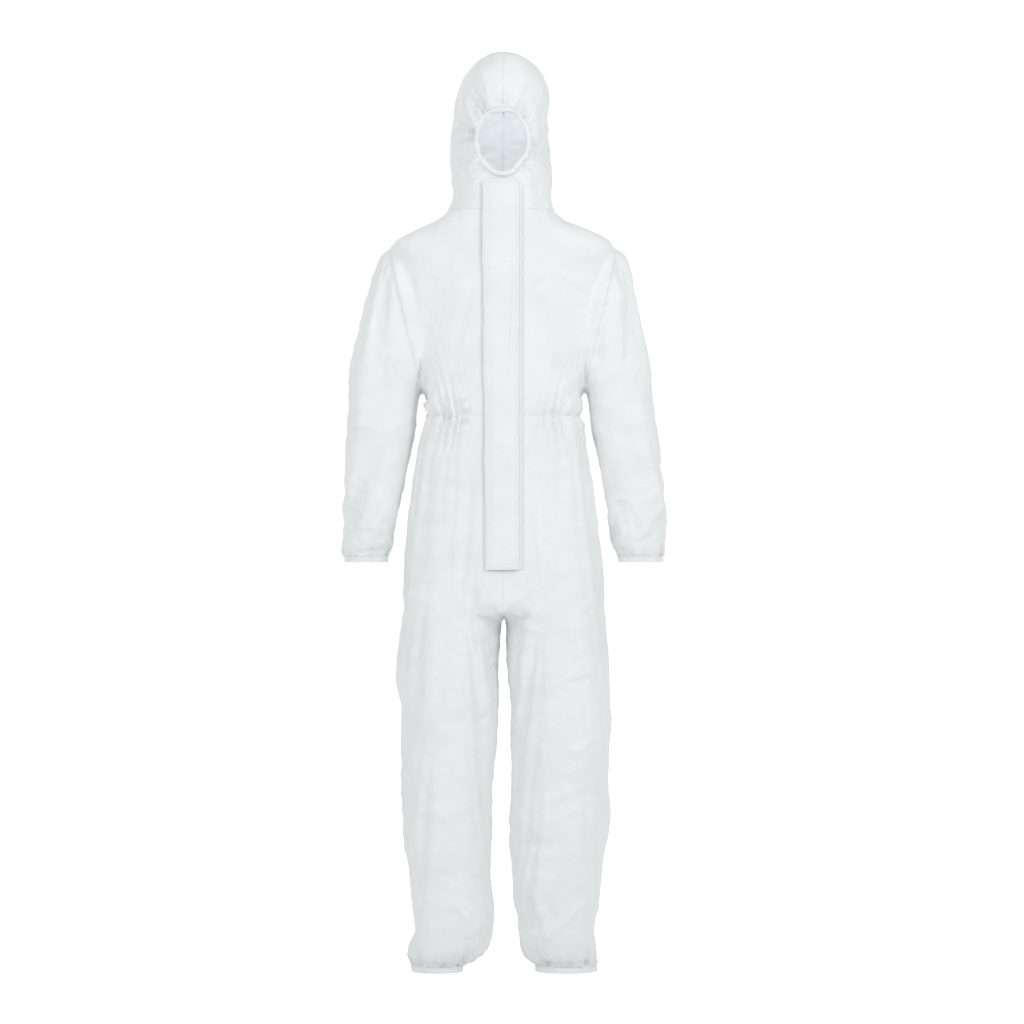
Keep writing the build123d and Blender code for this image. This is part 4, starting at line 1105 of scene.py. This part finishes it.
def flap_line(points, count=200):
    """A line over the flap's face from points as share across and z."""
    pts = np.array(points, float)
    at = np.concatenate([[0], np.cumsum(np.hypot(np.diff(pts[:, 0]) * 0.067, np.diff(pts[:, 1])))])
    t = np.linspace(0, at[-1], count)
    u, z = np.interp(t, at, pts[:, 0]), np.interp(t, at, pts[:, 1])
    x = flap_free(z) + (FLAP_HIGH.x - flap_free(z)) * u
    return np.stack([x, front(z) - flap_out(u, z), z], 1), np.tile([0.0, -1.0, 0.0], (count, 1))


low, high = FLAP_LOW.z, FLAP_HIGH.z
lines = [
    flap_line([(0.93, low + 0.003), (0.93, high - 0.003)], 900),
    flap_line([(0.055, low + 0.005), (0.055, high - 0.006)], 900),
    flap_line([(0.07, low + 0.0045), (0.92, low + 0.0045)], 90),
    flap_line([(0.07, high - 0.006), (0.92, high - 0.005)], 90),
    flap_line([(0.80, -0.06), (0.79, -0.16), (0.74, -0.24), (0.70, -0.272), (0.73, -0.281), (0.79, -0.283)], 260),
]
obj = stitched("flap_stitches", lines, radius=0.5 * MM, pitch=3.4 * MM, lift=0.1 * MM)
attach(obj, "flap")


# The sewn margin: it leaves the flap's fold, turns under it, and lies on the left front panel.
rows, cols = 480, 9
SEWN_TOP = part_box("flap_sewn_edge")[1].z
ZZ, XX = grid(low + 0.001, SEWN_TOP, rows, FLAP_HIGH.x - 0.0004, 0.0392, cols)
wave = 0.25 * MM * np.sin(ZZ * 190) * smoothstep(XX, 0.034, 0.039)
top = np.stack([XX, strip_y(XX, ZZ) - 0.0011 - wave - 0.0004 * (1 - smoothstep(XX, 0.0308, 0.0362)), ZZ], 1)
margin = grid_solid("flap_margin", top, top + np.array([0, 0.0009, 0]), rows, cols)
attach(margin, "torso")
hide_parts("flap_sewn_edge")
lines = []
for x in (0.0352, 0.0377):
    z = np.linspace(low + 0.003, SEWN_TOP - 0.003, 900)
    line = np.stack([np.full(len(z), x), strip_y(x, z) - 0.0011, z], 1)
    lines.append((line, np.tile([0.0, -1.0, 0.0], (len(z), 1))))
obj = stitched("seam_margin", lines, radius=0.45 * MM, pitch=3.0 * MM)
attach(obj, "torso")

# ---------------------------------------------------------------- zip tapes, woven, behind the opening's edges
for side, hand in SIDE_NAME.items():
    box_low, box_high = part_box(f"zip_tape_{hand}")
    rows, cols = 420, 9
    ZZ, XX = grid(box_low.z + 0.0005, box_high.z - 0.0005, rows, box_low.x + 0.0001, box_high.x - 0.0001, cols)
    top = np.stack([XX, front(ZZ) + 0.00185 + 0.00008 * np.sin(ZZ * 2400), ZZ], 1)
    tape = grid_solid(f"tape_{hand}", top, top + np.array([0, 0.00042, 0]), rows, cols)
    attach(tape, "torso")
    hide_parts(f"zip_tape_{hand}")

# ---------------------------------------------------------------- materials
def nodes_of(name):
    mat = bpy.data.materials.new(name)
    mat.use_nodes = True
    tree = mat.node_tree
    return mat, tree, tree.nodes["Principled BSDF"]


def texture(tree, kind, scale, **values):
    node = tree.nodes.new(kind)
    coords = next((n for n in tree.nodes if n.type == "TEX_COORD"), None) or tree.nodes.new("ShaderNodeTexCoord")
    tree.links.new(coords.outputs["Object"], node.inputs["Vector"])
    node.inputs["Scale"].default_value = scale
    for key, value in values.items():
        key = key.replace("_", " ")
        if key in node.inputs:
            node.inputs[key].default_value = value
        else:
            setattr(node, key.replace(" ", "_"), value)
    return node


def ramp(tree, source, stops):
    node = tree.nodes.new("ShaderNodeValToRGB")
    tree.links.new(source, node.inputs["Fac"])
    e = node.color_ramp.elements
    while len(e) < len(stops):
        e.new(0.5)
    for element, (at, colour) in zip(e, stops):
        element.position = at
        element.color = (*colour, 1) if len(colour) == 3 else colour
    return node.outputs["Color"]


def bumped(tree, height, strength, distance, below=None):
    node = tree.nodes.new("ShaderNodeBump")
    node.inputs["Strength"].default_value = strength
    node.inputs["Distance"].default_value = distance
    tree.links.new(height, node.inputs["Height"])
    if below:
        tree.links.new(below, node.inputs["Normal"])
    return node.outputs["Normal"]


def shade(tree, shader, source, socket, low, high):
    """Runs a socket of the shader from low to high, each (place, value), as a texture rises."""
    stops = [(at, value if isinstance(value, tuple) else (value,) * 3) for at, value in (low, high)]
    tree.links.new(ramp(tree, source, stops), shader.inputs[socket])


def nonwoven(name, tint=(0.878, 0.888, 0.892), rough=0.62, emboss=0.10):
    """White spun-bonded fabric: soft clouding, a fine point-bond emboss, fibres, and a papery crinkle."""
    mat, tree, shader = nodes_of(name)
    cloud = texture(tree, "ShaderNodeTexNoise", 14, Detail=4, Roughness=0.6)
    dark = tuple(c * 0.965 for c in tint)
    shade(tree, shader, cloud.outputs["Fac"], "Base Color", (0.36, dark), (0.60, tint))
    crinkle = texture(tree, "ShaderNodeTexVoronoi", 38, feature="DISTANCE_TO_EDGE")
    warp = texture(tree, "ShaderNodeTexNoise", 26, Detail=3)
    mix = tree.nodes.new("ShaderNodeVectorMath")
    mix.operation = "MULTIPLY_ADD"
    coords = next(n for n in tree.nodes if n.type == "TEX_COORD")
    tree.links.new(warp.outputs["Color"], mix.inputs[0])
    mix.inputs[1].default_value = (0.06, 0.06, 0.06)
    tree.links.new(coords.outputs["Object"], mix.inputs[2])
    tree.links.new(mix.outputs[0], crinkle.inputs["Vector"])
    soft = texture(tree, "ShaderNodeTexNoise", 75, Detail=5, Roughness=0.55, Distortion=0.4)
    points = texture(tree, "ShaderNodeTexVoronoi", 620, Randomness=0.25)
    fibre = texture(tree, "ShaderNodeTexNoise", 1500, Detail=2)
    n = bumped(tree, ramp(tree, crinkle.outputs["Distance"], [(0.0, (0.0,) * 3), (0.22, (1.0,) * 3)]), 0.085, 0.0014)
    n = bumped(tree, soft.outputs["Fac"], 0.30, 0.0022, n)
    n = bumped(tree, points.outputs["Distance"], emboss, 0.0003, n)
    n = bumped(tree, fibre.outputs["Fac"], 0.08, 0.0002, n)
    tree.links.new(n, shader.inputs["Normal"])
    shade(tree, shader, soft.outputs["Fac"], "Roughness", (0.3, rough - 0.06), (0.7, rough + 0.08))
    shader.inputs["Specular IOR Level"].default_value = 0.35
    return mat


def banded(name, tint, scale, rough, depth, specular=0.4):
    """A fine rib, for elastic, tape or thread."""
    mat, tree, shader = nodes_of(name)
    rib = texture(tree, "ShaderNodeTexWave", scale, bands_direction="Z")
    rib.inputs["Distortion"].default_value = 1.2
    grain = texture(tree, "ShaderNodeTexNoise", 900, Detail=3)
    dark = tuple(c * 0.86 for c in tint)
    shade(tree, shader, grain.outputs["Fac"], "Base Color", (0.35, dark), (0.6, tint))
    n = bumped(tree, rib.outputs["Fac"], 0.5, depth)
    tree.links.new(bumped(tree, grain.outputs["Fac"], 0.2, depth * 0.5, n), shader.inputs["Normal"])
    shade(tree, shader, grain.outputs["Fac"], "Roughness", (0.3, rough - 0.05), (0.7, rough + 0.07))
    shader.inputs["Specular IOR Level"].default_value = specular
    return mat


def moulded(name, tint, rough):
    """Moulded plastic: a faint flow mottle and handling scuffs."""
    mat, tree, shader = nodes_of(name)
    mottle = texture(tree, "ShaderNodeTexNoise", 260, Detail=4)
    scuff = texture(tree, "ShaderNodeTexNoise", 1400, Detail=2)
    dark = tuple(c * 0.93 for c in tint)
    shade(tree, shader, mottle.outputs["Fac"], "Base Color", (0.35, dark), (0.65, tint))
    shade(tree, shader, scuff.outputs["Fac"], "Roughness", (0.35, rough), (0.7, rough + 0.2))
    tree.links.new(bumped(tree, mottle.outputs["Fac"], 0.12, 0.0004), shader.inputs["Normal"])
    return mat


FABRIC_MAT = nonwoven("fabric_white")
HEM_MAT = nonwoven("fabric_hem", (0.866, 0.876, 0.880), 0.66, 0.06)
THREAD_MAT = banded("thread_white", (0.88, 0.885, 0.90), 900, 0.6, 0.0002)
ELASTIC_MAT = banded("elastic_white", (0.86, 0.865, 0.88), 700, 0.68, 0.0004)
TAPE_MAT = banded("tape_white", (0.87, 0.875, 0.885), 520, 0.6, 0.0003)
PLASTIC_MAT = moulded("zip_white", (0.86, 0.865, 0.875), 0.28)
TAPE_GLUE_MAT = moulded("adhesive_liner", (0.90, 0.90, 0.885), 0.22)


def give(obj, mat):
    obj.data.materials.clear()
    obj.data.materials.append(mat)


ZIP_PARTS = ("zip_teeth_right", "zip_teeth_left", "zip_top_stops", "zip_bottom_stop", "zip_slider", "zip_pull")
CARRIED = dict.fromkeys(ZIP_PARTS, PLASTIC_MAT) | {"flap_adhesive": TAPE_GLUE_MAT}
for obj in list(bpy.data.objects):
    if obj.type != "MESH" or obj == skin:
        continue
    if obj.name in CARRIED:
        for slot in obj.material_slots:
            slot.material = CARRIED[obj.name]
        continue
    if obj.name in frame["nodes"]:
        continue
    if obj.name.startswith(("seam", "flap_stitches")):
        give(obj, THREAD_MAT)
    elif obj.name.startswith("tape_"):
        give(obj, TAPE_MAT)
    elif obj.name == "waist_band":
        give(obj, ELASTIC_MAT)
    elif obj.name.startswith(("cuff_hem", "ankle_hem", "face_rim", "flap_margin")):
        give(obj, HEM_MAT)
    else:
        give(obj, FABRIC_MAT)

bpy.data.objects.remove(skin)

# ---------------------------------------------------------------- studio
scene = bpy.context.scene
scene.view_settings.view_transform = "Standard"
scene.view_settings.look = "None"
world = bpy.data.worlds.new("studio")
scene.world = world
world.use_nodes = True
# The object is lit by a soft pale sky, and the camera sees plain white in its place.
tree = world.node_tree
ambient = tree.nodes["Background"]
ambient.inputs["Color"].default_value = (0.965, 0.99, 0.985, 1)
ambient.inputs["Strength"].default_value = 0.70
white = tree.nodes.new("ShaderNodeBackground")
white.inputs["Color"].default_value = (1, 1, 1, 1)
white.inputs["Strength"].default_value = 1.05
path_kind, either = tree.nodes.new("ShaderNodeLightPath"), tree.nodes.new("ShaderNodeMixShader")
tree.links.new(path_kind.outputs["Is Camera Ray"], either.inputs[0])
tree.links.new(ambient.outputs[0], either.inputs[1])
tree.links.new(white.outputs[0], either.inputs[2])
tree.links.new(either.outputs[0], tree.nodes["World Output"].inputs["Surface"])

FLOOR_Z = ANKLE_Z - 0.002
FLOOR_HALF = 16
corners_xy = ((-1, -1), (1, -1), (1, 1), (-1, 1))
floor = make_object("floor", [(x * FLOOR_HALF, y * FLOOR_HALF, FLOOR_Z) for x, y in corners_xy], [(0, 1, 2, 3)])
floor.visible_diffuse = False
# The floor glows a little, so that it is as pale far off as it is under the lights.
mat, tree, shader = nodes_of("floor_pale")
speck = texture(tree, "ShaderNodeTexNoise", 3, Detail=3)
shade(tree, shader, speck.outputs["Fac"], "Base Color", (0.3, 0.93), (0.7, 0.95))
shader.inputs["Roughness"].default_value = 0.9
shader.inputs["Specular IOR Level"].default_value = 0.1
shader.inputs["Emission Color"].default_value = (1, 1, 1, 1)
shader.inputs["Emission Strength"].default_value = 0.75
give(floor, mat)


def area_light(name, at, target, size, watts, colour=(1, 1, 1)):
    light = bpy.data.lights.new(name, "AREA")
    light.shape = "RECTANGLE"
    light.size, light.size_y = size
    light.energy = watts
    light.color = colour
    obj = bpy.data.objects.new(name, light)
    scene.collection.objects.link(obj)
    obj.location = at
    obj.rotation_euler = (Vector(target) - Vector(at)).to_track_quat("-Z", "Y").to_euler()


MIDDLE = (0, 0, -0.55)
area_light("key", (2.2, -2.6, 0.8), (0, 0, 0.05), (0.9, 1.2), 28)
area_light("fill", (-2.0, -2.7, 0.6), (0, 0, 0.05), (1.2, 1.6), 20)
area_light("behind", (-2.0, 4.0, 1.6), MIDDLE, (1.4, 1.8), 14)
glow = bpy.data.lights.new("inside_hood", "POINT")
glow.energy, glow.shadow_soft_size = 0.20, 0.045
glow_object = bpy.data.objects.new("inside_hood", glow)
scene.collection.objects.link(glow_object)
glow.color = (0.95, 0.975, 1.0)
glow_object.location = (0, -0.005, 0.215)
glow_object.visible_camera = False

camera = bpy.data.cameras.new("camera")
camera.lens, camera.sensor_width = 150, 36
camera_object = bpy.data.objects.new("camera", camera)
scene.collection.objects.link(camera_object)
camera_object.location = (0.017, -8.19, -0.576)
camera_object.rotation_euler = (math.pi / 2, 0, 0)
camera.clip_end = 60
scene.camera = camera_object
